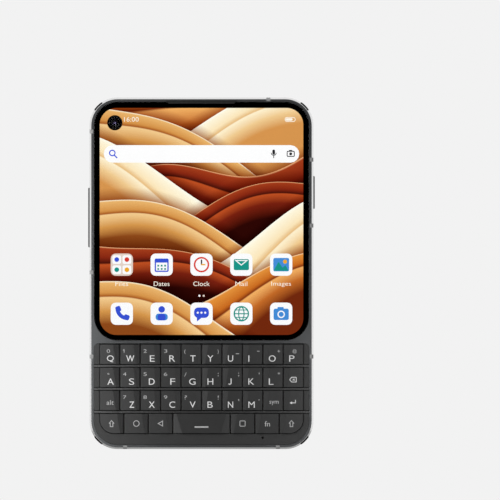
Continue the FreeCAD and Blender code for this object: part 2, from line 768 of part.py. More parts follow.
def make_band_boxes():
    """A box for each plastic antenna band that interrupts the metal edge."""
    depth = "band_depth + past"
    through = "frame_thick + 2 * past"
    front = "lip_y - past"
    half = "band_length / 2"
    boxes = []
    for name, side, height in (
        ("left_low", LEFT, "band_low"),
        ("left_middle", LEFT, "body_height - band_left_middle"),
        ("left_high", LEFT, "body_height - band_left_high"),
        ("right_low", RIGHT, "band_low"),
        ("right_middle", RIGHT, "body_height - band_right_middle"),
        ("right_high", RIGHT, "body_height - band_right_high"),
    ):
        x = "-half_width - past" if side == LEFT else "half_width - band_depth"
        lowest = (x, front, f"{height} - {half}")
        boxes.append(make_box(f"band_{name}", lowest, (depth, through, "band_length")))
    for name, across, z in (
        ("top", "band_top_side", "body_height - band_depth"),
        ("bottom_left", "-band_bottom_side", "-past"),
        ("bottom_right", "band_bottom_side", "-past"),
    ):
        lowest = (f"{across} - {half}", front, z)
        boxes.append(make_box(f"band_{name}", lowest, ("band_length", through, depth)))
    return boxes


def draw_bumper(sketch):
    """A strip of a ring about the sketch's origin, cut square at both ends, towards +X."""
    half = value("bumper_length") / 2
    inner = value("corner_round - bumper_depth")
    outer = value("corner_round + bumper_proud")
    arcs = []
    for name, radius in (("inner", inner), ("outer", outer)):
        angle = math.asin(half / radius)
        circle = Part.Circle(FreeCAD.Vector(), FreeCAD.Vector(0, 0, 1), radius)
        index = sketch.addGeometry(Part.ArcOfCircle(circle, -angle, angle), False)
        constrain(sketch, "Coincident", index, 3, -1, 1)
        measure(sketch, name + "_low", "bumper_length / 2", "DistanceY", index, 1, -1, 1)
        measure(sketch, name + "_high", "bumper_length / 2", "DistanceY", -1, 1, index, 2)
        arcs.append(index)
    measure(sketch, "inner_round", "corner_round - bumper_depth", "Radius", arcs[0])
    measure(sketch, "outer_round", "corner_round + bumper_proud", "Radius", arcs[1])
    for end, height in ((1, -half), (2, half)):
        near = FreeCAD.Vector(math.sqrt(inner**2 - half**2), height, 0)
        far = FreeCAD.Vector(math.sqrt(outer**2 - half**2), height, 0)
        line = sketch.addGeometry(Part.LineSegment(near, far), False)
        constrain(sketch, "Coincident", line, 1, arcs[0], end)
        constrain(sketch, "Coincident", line, 2, arcs[1], end)


def make_bumpers():
    """A rubber strip across each of the four corners."""
    bumpers = []
    for name, side, height, turn in (
        ("low_left", LEFT, "corner_round", 135),
        ("low_right", RIGHT, "corner_round", 45),
        ("high_right", RIGHT, "body_height - corner_round", -45),
        ("high_left", LEFT, "body_height - corner_round", -135),
    ):
        body = new_body("bumper_" + name)
        rear = "frame_rear_y - bumper_end"
        sketch = new_sketch(body, f"bumper_{name}_outline", "XZ", 0, 0, rear)
        draw_bumper(sketch)
        length = "frame_thick - 2 * bumper_end"
        add_feature(body, "Pad", f"bumper_{name}_strip", sketch, length)
        turned = FreeCAD.Rotation(FreeCAD.Vector(0, 1, 0), turn)
        body.Placement = FreeCAD.Placement(FreeCAD.Vector(), turned)
        set_place(body, f"{side} * (half_width - corner_round)", 0, height)
        bumpers.append(body)
    return gather("corner_bumpers", *bumpers)


def make_frame():
    """The frame, and the inserts in its edge, which fill what is cut out for them."""
    machined = new_body("frame_machined")
    pad_bar(machined, "frame")
    cut_display_seat(machined)
    cut_earpiece_seat(machined)
    cut_keyboard_seat(machined)
    cut_cavities(machined)
    cut_side_slots(machined)
    cut_bottom_holes(machined)
    add_bosses(machined)
    boxes = gather("band_boxes", *make_band_boxes())
    bumpers = make_bumpers()
    slotted = combine("Cut", "frame_slotted", machined, boxes)
    frame = combine("Cut", "mid_frame", slotted, bumpers)
    stock = new_body("band_stock")
    pad_bar(stock, "band")
    bands = combine("Common", "antenna_bands", stock, boxes)
    return [frame, bands, bumpers]


# Display


def make_cover_glass():
    body = new_body("cover_glass")
    pad_plate(
        body, "glass_pane", "glass_front_y", "glass_back_y", ("glass_width", "glass_height"),
        (0, "glass_middle"), every("glass_round"),
    )
    dress(body, "Fillet", "glass_front_edge", "glass_edge", ("Y", "glass_front_y"))
    pocket_mesh(body, "glass_notch", "glass_front_y", "glass_back_y", "fit_gap")
    return body


def make_display_gasket():
    """The black frame between the glass and the display panel."""
    body = new_body("display_gasket")
    middle = (0, "glass_middle")
    pad_plate(
        body, "gasket_sheet", "glass_back_y", "display_front_y",
        ("glass_width - 2 * gasket_inset", "glass_height - 2 * gasket_inset"), middle,
        every("glass_round - gasket_inset"),
    )
    pocket_plate(
        body, "gasket_opening", "glass_back_y", "display_front_y", ("lit_width", "lit_height"),
        middle, every("lit_round"),
    )
    pocket_mesh(body, "gasket_notch", "glass_back_y", "display_front_y", "2 * fit_gap")
    return body


def make_display_panel():
    body = new_body("display_panel")
    pad_plate(
        body, "panel_sheet", "display_front_y", "plate_front_y",
        ("display_width", "display_height"), (0, "glass_middle"), every("display_round"),
    )
    pocket_bore(
        body, "panel_hole", "display_front_y", "plate_front_y", ("camera_x", "camera_z"),
        "camera_hole",
    )
    return body


def make_front_camera():
    front = "plate_back_y + fit_gap"
    corner = ("camera_x - camera_base / 2", front, "camera_z - camera_base / 2")
    size = ("camera_base", "camera_base_thick", "camera_base")
    housing = make_box("front_camera_housing", corner, size)
    barrel = make_round(
        "Cylinder", "front_camera_barrel", ("camera_x", "camera_z"), "display_front_y", front,
        "camera_barrel",
    )
    return fuse("front_camera", housing, barrel)


def make_earpiece():
    """The mesh at the top of the glass, and the receiver capsule behind the plate."""
    mesh = new_body("earpiece_mesh")
    sketch = new_sketch(mesh, "mesh_outline", "XZ", 0, "mesh_middle", "mesh_back_y")
    draw_mesh(sketch, "0")
    add_feature(mesh, "Pad", "mesh_strip", sketch, "earpiece_thick")
    top = "body_height - wall_thick - inside_gap"
    corner = ("-receiver_width / 2", "plate_back_y + fit_gap", f"{top} - receiver_height")
    size = ("receiver_width", "receiver_thick", "receiver_height")
    capsule = make_box("receiver_capsule", corner, size)
    return gather("earpiece", mesh, capsule)


# Keyboard


def row_bottom(row):
    return f"(first_row_bottom + {row} * row_pitch)"


def key_places(row):
    """The name, left side and width of each cap in a row."""
    names = KEY_ROWS[row]
    middle = len(names) // 2
    for column, name in enumerate(names):
        if row > 0:
            left, pitch = f"{column} * column_pitch", "column_pitch"
        elif column < middle:
            left, pitch = f"{column} * wide_key_pitch", "wide_key_pitch"
        elif column > middle:
            left = f"key_field_width - {len(names) - column} * wide_key_pitch"
            pitch = "wide_key_pitch"
        else:
            left = f"{middle} * wide_key_pitch"
            pitch = f"(key_field_width - {2 * middle} * wide_key_pitch)"
        yield name, f"({left} + key_gap / 2 - key_field_width / 2)", f"({pitch} - key_gap)"


def key_middles():
    """The name and the middle of every key."""
    for row in range(len(KEY_ROWS)):
        for name, left, width in key_places(row):
            yield name, (f"{left} + {width} / 2", f"{row_bottom(row)} + key_height / 2")


def make_bezel():
    """The plate round the keys, with an opening for each row and a channel for each fret."""
    body = new_body("keyboard_bezel")
    pad_plate(
        body, "bezel_plate", "lip_y", "bezel_back_y",
        ("bezel_width", "bezel_top - bezel_bottom"), (0, "(bezel_top + bezel_bottom) / 2"),
        lower_and_upper("bezel_corner", "bezel_round"),
    )
    width = "key_field_width - key_gap + 2 * opening_gap"
    for row in range(len(KEY_ROWS)):
        bottom = f"({row_bottom(row)} - opening_gap)"
        top = f"({row_bottom(row)} + key_height + opening_gap)"
        if row == ROW_STEPS:
            top = "(keyboard_top + past)"
        rounds = SQUARE if row else lower("key_corner_round + opening_gap")
        pocket_plate(
            body, f"row_opening_{row}", "lip_y", "bezel_back_y", (width, f"{top} - {bottom}"),
            (0, f"({top} + {bottom}) / 2"), rounds,
        )
    for row in range(ROW_STEPS):
        pocket_plate(
            body, f"fret_channel_{row}", "lip_y", "lip_y + fret_seat",
            ("body_width", "row_gap"), (0, f"{row_bottom(row + 1)} - row_gap / 2"),
        )
    pocket_bore(
        body, "bezel_mic_hole", "lip_y", "bezel_back_y", ("mic_side", "bezel_bottom + mic_rise"),
        "mic_hole",
    )
    return body


def make_frets():
    strips = []
    for row in range(ROW_STEPS):
        z = f"{row_bottom(row + 1)} - row_gap / 2 - fret_width / 2"
        lowest = ("-bezel_width / 2", "lip_y + fret_seat - fret_thick", z)
        size = ("bezel_width", "fret_thick", "fret_width")
        strips.append(make_box(f"fret_{row}", lowest, size))
    return gather("frets", *strips)


def cut_crown(body, name, width, facet, face_slope, facet_on_left):
    """Trims a cap to a slanting ridge, with a broad face on one side and a facet on the other.
    The facet is given as its width across the cap's lower edge and across its upper edge."""
    low, high = facet
    slant = f"({high} - {low}) / key_height"
    # Places across the cap are counted from the broad face's side, one cutter's margin below.
    ridge = f"({width} - {low} + {slant} * past)"
    near, far = "-crown_past", f"({width} + crown_past)"
    air = "ridge_y - 2 * past"
    profile = [
        (near, f"ridge_y + {face_slope} * ({ridge} + crown_past)"),
        (ridge, "ridge_y"),
        (far, f"ridge_y + facet_slope * ({far} - {ridge})"),
        (far, air),
        (near, air),
    ]
    if facet_on_left:
        profile = [(f"{width} - ({across})", depth) for across, depth in profile]
    sketch = new_sketch(body, name + "_profile", "XY", 0, 0, "-past")
    draw_polygon(sketch, profile)
    crown = add_feature(body, "Pocket", name, sketch, "key_height + 2 * past")
    crown.UseCustomVector = True
    crown.AlongSketchNormal = True
    crown.Direction = FreeCAD.Vector(0, 0, 1)
    bind(crown, "Direction.x", slant if facet_on_left else f"-({slant})")
    return crown


def make_key(row, name, left, width, facet_on_left):
    """A cap with its crown, on a flange that the bezel and the frets' webs hold back.
    Its own origin is the lower left corner of the cap's back."""
    body = new_body("key_" + name)
    outer_corner = {
        "shift_left": ("key_corner_round", None, None, None),
        "shift_right": (None, "key_corner_round", None, None),
    }
    rounds = outer_corner.get(name, SQUARE)
    middle = (f"{width} / 2", "key_height / 2")
    pad_plate(body, f"cap_{name}", "ridge_y - past", 0, (width, "key_height"), middle, rounds)
    if name == "space":
        facet = ("space_facet_low", "space_facet_high")
        cut_crown(body, "crown_space_right", width, facet, 0, False)
        cut_crown(body, "crown_space_left", width, facet, 0, True)
    else:
        facet = ("facet_low", "facet_high")
        cut_crown(body, f"crown_{name}", width, facet, "face_slope", facet_on_left)
    flange_width = width
    if name in outer_corner:
        flange_width = f"({width} + flange_reach)"
        shift = "-flange_reach / 2" if name == "shift_left" else "+flange_reach / 2"
        middle = (f"{width} / 2 {shift}", "key_height / 2")
        rounds = tuple(f"{text} + flange_reach" if text else None for text in rounds)
    pad_plate(
        body, f"flange_{name}", "-flange_thick", 0,
        (flange_width, "key_height + 2 * flange_reach"), middle, rounds,
    )
    set_place(body, left, "key_back_y", row_bottom(row))
    return body


def make_keys():
    """The facets of the left keys are on their right, and those of the right keys on the left."""
    keys = []
    for row, names in enumerate(KEY_ROWS):
        for column, (name, left, width) in enumerate(key_places(row)):
            keys.append(make_key(row, name, left, width, column >= len(names) / 2))
    return keys


def pad_key_sheet(label, front, back):
    """A sheet that fills the well under the keys."""
    body = new_body(label)
    pad_plate(
        body, label + "_plate", front, back,
        ("key_board_width", "key_board_top - key_board_bottom"),
        (0, "(key_board_top + key_board_bottom) / 2"),
        lower_and_upper("key_board_corner", "inner_round"),
    )
    return body


def make_key_mat():
    """A rubber mat with a nub behind each key."""
    pieces = [pad_key_sheet("mat_sheet", "mat_front_y", "mat_back_y")]
    for name, middle in key_middles():
        pieces.append(
            make_round(
                "Cylinder", f"nub_{name}", middle, "nub_front_y", "mat_front_y", "nub_radius"
            )
        )
    return fuse("key_mat", *pieces)


def make_keyboard_board():
    """The keyboard's circuit board with a snap dome under each key."""
    pieces = [pad_key_sheet("key_board_sheet", "key_board_front_y", "floor_front_y")]
    for name, middle in key_middles():
        pieces.append(
            make_round(
                "Cone", f"dome_{name}", middle, "mat_back_y", "key_board_front_y", "dome_top",
                "dome_radius",
            )
        )
    return fuse("keyboard_board", *pieces)


# Back


def make_back_cover():
    """A shell with a rim that goes into the frame, and a collar round the camera window."""
    body = new_body("back_cover")
    middle = (0, "body_height / 2")
    pad_plate(
        body, "cover_shell", "frame_rear_y", "cover_rear_y",
        ("body_width - 2 * cover_inset", "body_height - 2 * cover_inset"), middle,
        every("cover_corner"),
    )
    dress(body, "Fillet", "cover_edge", "cover_round", ("Y", "cover_rear_y"))
    pad_plate(
        body, "cover_rim", "frame_rear_y - cover_rim", "frame_rear_y",
        ("body_width - 2 * rim_side", "body_height - 2 * rim_side"), middle,
        every("corner_round - rim_side"),
    )
    window = (0, "window_middle")
    pad_plate(
        body, "window_collar", "cover_inner_y", "collar_rear_y",
        ("collar_width", "collar_height"), window, every("collar_round"),
    )
    pocket_plate(
        body, "cover_hollow", "frame_rear_y - cover_rim", "cover_inner_y",
        ("body_width - 2 * hollow_side", "body_height - 2 * hollow_side"), middle,
        every("corner_round - hollow_side"),
    )
    pocket_plate(
        body, "window_seat", "window_front_y", "collar_rear_y",
        ("window_width + 2 * fit_gap", "window_height + 2 * fit_gap"), window,
        every("window_round + fit_gap"),
    )
    pocket_plate(
        body, "window_opening", "cover_inner_y", "window_front_y",
        ("window_width - 2 * window_ledge", "window_height - 2 * window_ledge"), window,
        every("window_round - window_ledge"),
    )
    return body


def lens_middles():
    return {
        "outer": ("lens_side", "window_middle"),
        "inner": ("(lens_side - lens_spacing)", "window_middle"),
    }


def flash_middle():
    return ("-flash_side", "window_middle")


def make_camera_window():
    body = new_body("camera_window")
    front, rear = "window_front_y", "window_rear_y"
    pad_plate(
        body, "window_pane", front, rear, ("window_width", "window_height"),
        (0, "window_middle"), every("window_round"),
    )
    for name, middle in lens_middles().items():
        pocket_bore(body, f"window_{name}_hole", front, rear, middle, "lens_radius + fit_gap")
    pocket_bore(
        body, "window_flash_hole", front, rear, flash_middle(), "flash_radius + fit_gap"
    )
    return body


def make_rear_cameras():
    """Two cameras and the flash, which lie apart behind the camera window."""
    pieces = []
    front = "plate_back_y + fit_gap"
    back = f"{front} + lens_housing_thick"
    for name, middle in lens_middles().items():
        corner = (f"{middle[0]} - lens_housing / 2", front, f"{middle[1]} - lens_housing / 2")
        size = ("lens_housing", "lens_housing_thick", "lens_housing")
        housing = make_box(f"{name}_camera_housing", corner, size)
        barrel = make_round(
            "Cylinder", f"{name}_camera_barrel", middle, back, "window_rear_y - lens_sink",
            "lens_radius",
        )
        pieces.append(fuse(f"{name}_camera", housing, barrel))
    stem_front = "board_back_y + can_height"
    stem = make_round(
        "Cylinder", "flash_stem", flash_middle(), stem_front, "window_front_y", "flash_stem"
    )
    lens = make_round(
        "Cylinder", "flash_lens", flash_middle(), "window_front_y", "window_rear_y",
        "flash_radius",
    )
    pieces.append(fuse("flash", stem, lens))
    return gather("rear_cameras", *pieces)


# Inside


def make_main_board():
    """The main board with its shield cans, and the metal reader round the card tray."""
    body = new_body("main_board")
    front, back = "board_front_y", "board_back_y"
    pad_plate(
        body, "board_sheet", front, back, ("body_width - 2 * board_side", "board_height"),
        (0, "(board_top + board_bottom) / 2"), lower_and_upper(None, "board_corner"),
    )
    notch = "lens_housing + 2 * notch_gap"
    for name, middle in lens_middles().items():
        pocket_plate(body, f"board_{name}_notch", front, back, (notch, notch), middle)
    for number, middle in enumerate(MAIN_SCREWS):
        pocket_bore(
            body, f"board_hole_{number}", front, back, middle, "screw_shank + screw_gap"
        )
    for name, side, width in (
        ("large", LEFT, "can_width"),
        ("small", RIGHT, "small_can_width"),
    ):
        across = f"{side} * (half_width - board_side - can_side - {width} / 2)"
        pad_plate(
            body, f"{name}_can", back, "board_back_y + can_height", (width, "can_length"),
            (across, "window_middle"),
        )
    add_reader(body)
    return body


def add_reader(body):
    """A box of sheet metal in front of the board, open towards the slot in the side wall."""
    outer = "(half_width - board_side)"
    inner = "(tray_end - reader_gap)"
    pad_plate(
        body, "reader_shell", "reader_front_y", "board_front_y",
        (f"{outer} - {inner}", "tray_length + 2 * reader_gap"),
        (f"-({outer} + {inner}) / 2", "tray_z"),
    )
    pocket_to_side(
        body, "reader_space", LEFT, "tray_end - tray_gap", f"{outer} + past",
        ("tray_thick + 2 * tray_gap", "tray_length + 2 * tray_gap"), "tray_z",
    )


def make_battery():
    lowest = (
        "battery_side - half_width",
        "plate_back_y + glue_gap",
        "keyboard_top + plate_thick + battery_rise",
    )
    size = ("body_width - 2 * battery_side", "battery_thick", "battery_height")
    return make_box("battery", lowest, size)


def make_usb_port():
    """The port's shell with its tongue, on the board that carries it."""
    body = new_body("usb_port")
    shell = new_sketch(body, "port_shell_outline", "XY", 0, "port_y", "port_sink")
    draw_outline(shell, "port_width", "port_thick", every("port_round"))
    add_feature(body, "Pad", "port_shell", shell, "port_depth")
    mouth = new_sketch(body, "port_mouth_outline", "XY", 0, "port_y", "port_end")
    size = ("port_width - 2 * port_wall", "port_thick - 2 * port_wall")
    draw_outline(mouth, *size, every("port_round - port_wall"))
    add_feature(body, "Pocket", "port_mouth", mouth, "port_end - port_sink")
    low = "(port_sink + tongue_sink)"
    tongue = new_sketch(body, "tongue_outline", "XY", 0, "port_y", low)
    draw_outline(tongue, "tongue_width", "tongue_thick", SQUARE)
    add_feature(body, "Pad", "tongue", tongue, f"port_end - {low}")
    back = "port_board_y + board_thick"
    pad_plate(
        body, "port_board", "port_board_y", back, ("port_board_width", "port_board_height"),
        (0, "(port_board_top + port_board_bottom) / 2"),
    )
    for number, middle in enumerate(PORT_SCREWS):
        pocket_bore(
            body, f"port_board_hole_{number}", "port_board_y", back, middle,
            "screw_shank + screw_gap",
        )
    return body


def make_loudspeaker():
    lowest = ("speaker_side", "floor_back_y + glue_gap", "wall_thick + inside_gap")
    size = ("speaker_width", "speaker_thick", "speaker_height")
    return make_box("loudspeaker", lowest, size)


# Side keys, card tray and screws


def side_keys():
    """The name, side, height and length of each side key."""
    return (
        ("volume_key", LEFT, "volume_z", "volume_length"),
        ("power_key", RIGHT, "power_z", "power_length"),
    )


def make_side_key(name, side, height, length):
    """A bar through the wall with rounded ends, held back by a flange inside the wall."""
    body = new_body(name)
    outer = "(half_width + side_key_proud)"
    pad_to_side(
        body, name + "_stem", side, "side_flange_outer", outer, ("side_key_thick", length),
        height, every("side_key_round"),
    )
    dress(body, "Fillet", name + "_edge", "side_key_edge", ("X", f"{side} * {outer}"))
    inner = "(side_flange_outer - side_flange_thick)"
    flange = ("side_key_thick + 2 * side_flange_reach", f"{length} + 2 * side_flange_reach")
    pad_to_side(body, name + "_flange", side, inner, "side_flange_outer", flange, height)
    return body


def make_sim_tray():
    """A face that closes the slot, and a tray with a recess for the cards."""
    body = new_body("sim_tray")
    pad_to_side(
        body, "tray_face", LEFT, "tray_face_inner", "half_width",
        ("tray_face_thick", "tray_face_length"), "tray_z", every("tray_face_round"),
    )
    cut_eject_hole(body, "tray_eject_hole", "tray_face_inner")
    pad_to_side(
        body, "tray_body", LEFT, "tray_end", "tray_face_inner", ("tray_thick", "tray_length"),
        "tray_z",
    )
    outer = "(tray_face_inner - tray_rim)"
    inner = "(tray_end + tray_rim)"
    pocket_plate(
        body, "card_recess", "side_y - tray_thick / 2", "side_y + tray_thick / 2 - tray_floor",
        (f"{outer} - {inner}", "tray_length - 2 * tray_rim"),
        (f"-({outer} + {inner}) / 2", "tray_z"),
    )
    return body


def make_screw(name, middle, board):
    back = f"({board} + board_thick)"
    head = make_round(
        "Cylinder", name + "_head", middle, back, f"{back} + screw_head_height", "screw_head"
    )
    shank = make_round(
        "Cylinder", name + "_shank", middle, f"{back} - screw_length", back, "screw_shank"
    )
    return fuse(name, head, shank)


def make_screws():
    screws = []
    for number, middle in enumerate(MAIN_SCREWS):
        screws.append(make_screw(f"main_screw_{number}", middle, "board_front_y"))
    for number, middle in enumerate(PORT_SCREWS):
        screws.append(make_screw(f"port_screw_{number}", middle, "port_board_y"))
    return gather("screws", *screws)


def make_subparts():
    subparts = make_frame()
    subparts += [make_cover_glass(), make_display_gasket(), make_display_panel()]
    subparts += [make_front_camera(), make_earpiece()]
    subparts += [make_bezel(), make_frets(), *make_keys()]
    subparts += [make_key_mat(), make_keyboard_board()]
    subparts += [make_back_cover(), make_camera_window(), make_rear_cameras()]
    subparts += [make_main_board(), make_battery(), make_usb_port(), make_loudspeaker()]
    subparts += [make_side_key(*side_key) for side_key in side_keys()]
    subparts += [make_sim_tray(), make_screws()]
    doc.recompute()
    return subparts


def check_model(subparts):
    """Stops before anything is written if an object failed or a sub-part has no valid shape."""
    for thing in doc.Objects:
        if "Invalid" in thing.State or "Error" in thing.State:
            raise RuntimeError(f"{thing.Label} failed: {thing.State}")
    for subpart in subparts:
        if subpart.Shape.isNull() or not subpart.Shape.isValid():
            raise RuntimeError(f"{subpart.Label} has no valid shape")


def write_parts(subparts):
    os.makedirs("parts", exist_ok=True)
    for subpart in subparts:
        subpart.Shape.exportStep(f"parts/{subpart.Label}.step")


def main():
    fill_sheet()
    subparts = make_subparts()
    check_model(subparts)
    write_parts(subparts)
    print(f"{len(subparts)} sub-parts, {value('body_height'):.2f} high")


main()
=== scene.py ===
import math

import bmesh
import bpy
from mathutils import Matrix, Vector


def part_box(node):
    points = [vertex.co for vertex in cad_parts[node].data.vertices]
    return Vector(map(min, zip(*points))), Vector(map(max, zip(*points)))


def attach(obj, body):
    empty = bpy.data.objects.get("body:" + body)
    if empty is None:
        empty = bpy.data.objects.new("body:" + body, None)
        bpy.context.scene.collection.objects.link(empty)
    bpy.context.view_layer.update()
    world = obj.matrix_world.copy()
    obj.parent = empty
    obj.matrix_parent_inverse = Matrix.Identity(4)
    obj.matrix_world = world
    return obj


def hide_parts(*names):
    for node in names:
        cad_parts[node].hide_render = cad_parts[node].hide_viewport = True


# A bar phone with a fixed keyboard under its display.
# Lengths are given in millimetres, and mm turns them into metres.
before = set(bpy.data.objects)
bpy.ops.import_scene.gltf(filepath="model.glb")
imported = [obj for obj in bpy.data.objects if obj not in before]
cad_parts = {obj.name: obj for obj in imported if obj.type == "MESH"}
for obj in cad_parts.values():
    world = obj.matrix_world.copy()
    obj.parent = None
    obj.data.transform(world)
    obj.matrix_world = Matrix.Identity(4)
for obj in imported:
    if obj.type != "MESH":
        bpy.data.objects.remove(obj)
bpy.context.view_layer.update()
mm = 0.001
print("frame loaded with", len(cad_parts), "nodes")


# Camera, floor and lights

photo = {
    "side": 500,  # pixels of the picture, both ways
    "pixelSize": 0.33512,  # what a pixel covers on the phone
    "middleColumn": 201.5,  # pixel column of the phone's middle
    "bottomRow": 449.05,  # pixel row of the phone's bottom edge
    "distance": 700,
    "reach": 10000,  # nothing further away is drawn
}


def addCamera():
    pixel = photo["pixelSize"] * mm
    across = (photo["side"] / 2 - photo["middleColumn"]) * pixel
    up = (photo["bottomRow"] - photo["side"] / 2) * pixel
    place = (across, -photo["distance"] * mm, up)
    bpy.ops.object.camera_add(location=place, rotation=(math.pi / 2, 0, 0))
    camera = bpy.context.object
    camera.data.type = "ORTHO"
    camera.data.ortho_scale = photo["side"] * pixel
    camera.data.clip_end = photo["reach"] * mm
    bpy.context.scene.camera = camera


studio = {
    "background": (0.888, 0.888, 0.888, 1),  # pale grey behind the phone
    "daylight": 0.45,  # what the surroundings shed on the phone
    "aimHeight": 60,  # where the lamps point
    "floorSide": 3000,
    "floorDrop": 0.02,  # below the phone's bottom edge
    "floorLook": {"Base Color": (0.62, 0.62, 0.62, 1), "Roughness": 0.9, "Specular IOR Level": 0},
}
# Place, side, power, and whether surfaces mirror it.
lamps = {
    "keyLamp": ((-380, -220, 240), 200, 2.9, False),
    "fillLamp": ((420, -420, 60), 400, 0.4, True),
    "rearLamp": ((260, 420, 460), 300, 2.1, False),
}
# Only satin surfaces mirror these cards. The black and dim ones keep flat metal and plastic dark,
# as in a studio, two lit ones brighten the keyboard's ends, and the lower one is the table.
# Each has a place, a turn, its sides and its glow.
cards = {
    "frontCard": ((5, -75, 70), 90, (82, 260), 0.24),
    "leftCard": ((-82, -75, 10), 90, (70, 110), 3.6),
    "rightCard": ((80, -75, 10), 90, (60, 110), 2.5),
    "sideCard": ((550, -600, 100), 90, (700, 900), 0),
    "rearCard": ((0, 95, 44), -90, (58, 88), 0),
    "lowerCard": ((0, 0, -150), 0, (900, 900), 0.4),
}
# Polished glass mirrors only these two, in front and behind. They are black in the middle
# and grow lighter outwards.
screens = {
    "places": {"frontScreen": -200, "rearScreen": 200},
    "height": 80,
    "side": 2400,
    "darkRadius": 75,
    "lightRadius": 420,
    "glow": 0.6,
}
mirroredOnly = ("camera", "diffuse", "shadow")  # what the cards and screens are hidden from


def addLamps():
    target = Vector((0, 0, studio["aimHeight"])) * mm
    for name, (place, side, power, mirrored) in lamps.items():
        place = Vector(place) * mm
        aim = (target - place).to_track_quat("-Z", "Y").to_euler()
        bpy.ops.object.light_add(type="AREA", location=place, rotation=aim)
        light = bpy.context.object
        light.name = name
        light.data.energy = power
        light.data.size = side * mm
        light.visible_camera = False
        light.visible_glossy = mirrored
        # past the cover glass there is daylight only, because lamps would show there as specks
        light.visible_transmission = False


def blend(tree, share, first, second, output="Material Output"):
    # shows the first shader where share is 0 and the second where it is 1
    mix = tree.nodes.new("ShaderNodeMixShader")
    for socket, source in zip(mix.inputs, (share, first.outputs[0], second.outputs[0])):
        tree.links.new(source, socket)
    tree.links.new(mix.outputs[0], tree.nodes[output].inputs["Surface"])


def newNodes(tree, *kinds):
    return [tree.nodes.new("ShaderNode" + kind) for kind in kinds]


def setInputs(node, values):
    for name, value in values.items():
        node.inputs[name].default_value = value


def reckon(tree, operation, first, second):
    node = tree.nodes.new("ShaderNodeMath")
    node.operation = operation
    for socket, value in zip(node.inputs, (first, second)):
        if isinstance(value, float):
            socket.default_value = value
        else:
            tree.links.new(value, socket)
    return node.outputs[0]


def stagePlane(name, place, turn, side, hiddenFrom):
    bpy.ops.mesh.primitive_plane_add(
        size=mm, location=Vector(place) * mm, rotation=(math.radians(turn), 0, 0)
    )
    plane = bpy.context.object
    plane.name = name
    plane.scale = (*side, 1)
    material = bpy.data.materials.new(name)
    material.use_nodes = True
    plane.data.materials.append(material)
    for ray in hiddenFrom:
        setattr(plane, "visible_" + ray, False)
    return material.node_tree


def addCards():
    for name, (place, turn, side, glow) in cards.items():
        tree = stagePlane(name, place, turn, side, mirroredOnly)
        light, gone, path = newNodes(tree, "Emission", "BsdfTransparent", "LightPath")
        setInputs(light, {"Strength": glow})
        blend(tree, path.outputs["Is Singular Ray"], light, gone)


def addScreens():
    side = screens["side"]
    for name, away in screens["places"].items():
        place, turn = (0, away, screens["height"]), math.copysign(90, -away)
        tree = stagePlane(name, place, turn, (side, side), mirroredOnly)
        coordinates, radius, glow = newNodes(tree, "TexCoord", "VectorMath", "MapRange")
        light, gone, path = newNodes(tree, "Emission", "BsdfTransparent", "LightPath")
        radius.operation = "LENGTH"
        tree.links.new(coordinates.outputs["Object"], radius.inputs[0])
        glow.interpolation_type = "SMOOTHSTEP"
        start, end = (screens[key] * mm / side for key in ("darkRadius", "lightRadius"))
        setInputs(glow, {"From Min": start, "From Max": end, "To Max": screens["glow"]})
        tree.links.new(radius.outputs["Value"], glow.inputs["Value"])
        tree.links.new(glow.outputs[0], light.inputs["Strength"])
        # light that falls through the glass on what is behind it comes past the screen
        direct = reckon(tree, "LESS_THAN", path.outputs["Diffuse Depth"], 0.5)
        blend(tree, reckon(tree, "MULTIPLY", path.outputs["Is Singular Ray"], direct), gone, light)


def addFloor():
    # light reaches the phone's underside as if it hung free
    place, side = (0, 0, -studio["floorDrop"]), studio["floorSide"]
    tree = stagePlane("floor", place, 0, (side, side), ("diffuse", "glossy"))
    surface = tree.nodes["Principled BSDF"]
    setInputs(surface, studio["floorLook"])
    # and from below, the floor lets it be seen
    geometry, gone = newNodes(tree, "NewGeometry", "BsdfTransparent")
    blend(tree, geometry.outputs["Backfacing"], surface, gone)


def addSurroundings():
    world = bpy.data.worlds.new("surroundings")
    bpy.context.scene.world = world
    world.use_nodes = True
    tree = world.node_tree
    light = tree.nodes["Background"]
    setInputs(light, {"Color": (1, 1, 1, 1), "Strength": studio["daylight"]})
    shown, path = newNodes(tree, "Background", "LightPath")
    setInputs(shown, {"Color": studio["background"]})
    seen = path.outputs["Is Camera Ray"]
    for kind in ("Is Glossy Ray", "Is Transmission Ray"):
        seen = reckon(tree, "MAXIMUM", seen, path.outputs[kind])
    blend(tree, seen, light, shown, "World Output")


bpy.context.scene.view_settings.view_transform = "Standard"
addCamera()
addLamps()
addCards()
addScreens()
addFloor()
addSurroundings()
print("camera and studio made")


# Shader maths


class Number:
    # wraps a socket, so that sums on it add Math nodes; the loop below gives it its operators
    def __init__(self, finish, socket):
        self.finish = finish
        self.socket = socket

    def calc(self, operation, *values):
        return self.finish.add("Math", {"operation": operation}, dict(enumerate(values)))

    def output(self, name):
        # another output of the same node
        return Number(self.finish, self.socket.node.outputs[name])

    def __rsub__(self, other):
        return self.calc("SUBTRACT", other, self)


def addOperator(name, operation):
    setattr(Number, name, lambda *values: values[0].calc(operation, *values))


for operation, names in {
    "ADD": "__add__ __radd__",
    "SUBTRACT": "__sub__",
    "MULTIPLY": "__mul__ __rmul__",
    "DIVIDE": "__truediv__",
    "POWER": "__pow__",
    "GREATER_THAN": "__gt__",
    "LESS_THAN": "__lt__",
    "ABSOLUTE": "__abs__",
    "SINE": "sine",
    "FRACT": "fraction",
    "MAXIMUM": "most",
}.items():
    for name in names.split():
        addOperator(name, operation)


socketNames = {
    "colour": "Base Color",
    "specular": "Specular IOR Level",
    "coat": "Coat Weight",
    "coatRoughness": "Coat Roughness",
    "clear": "Transmission Weight",
    "ior": "IOR",
    "glow": "Emission Color",
    "glowStrength": "Emission Strength",
}


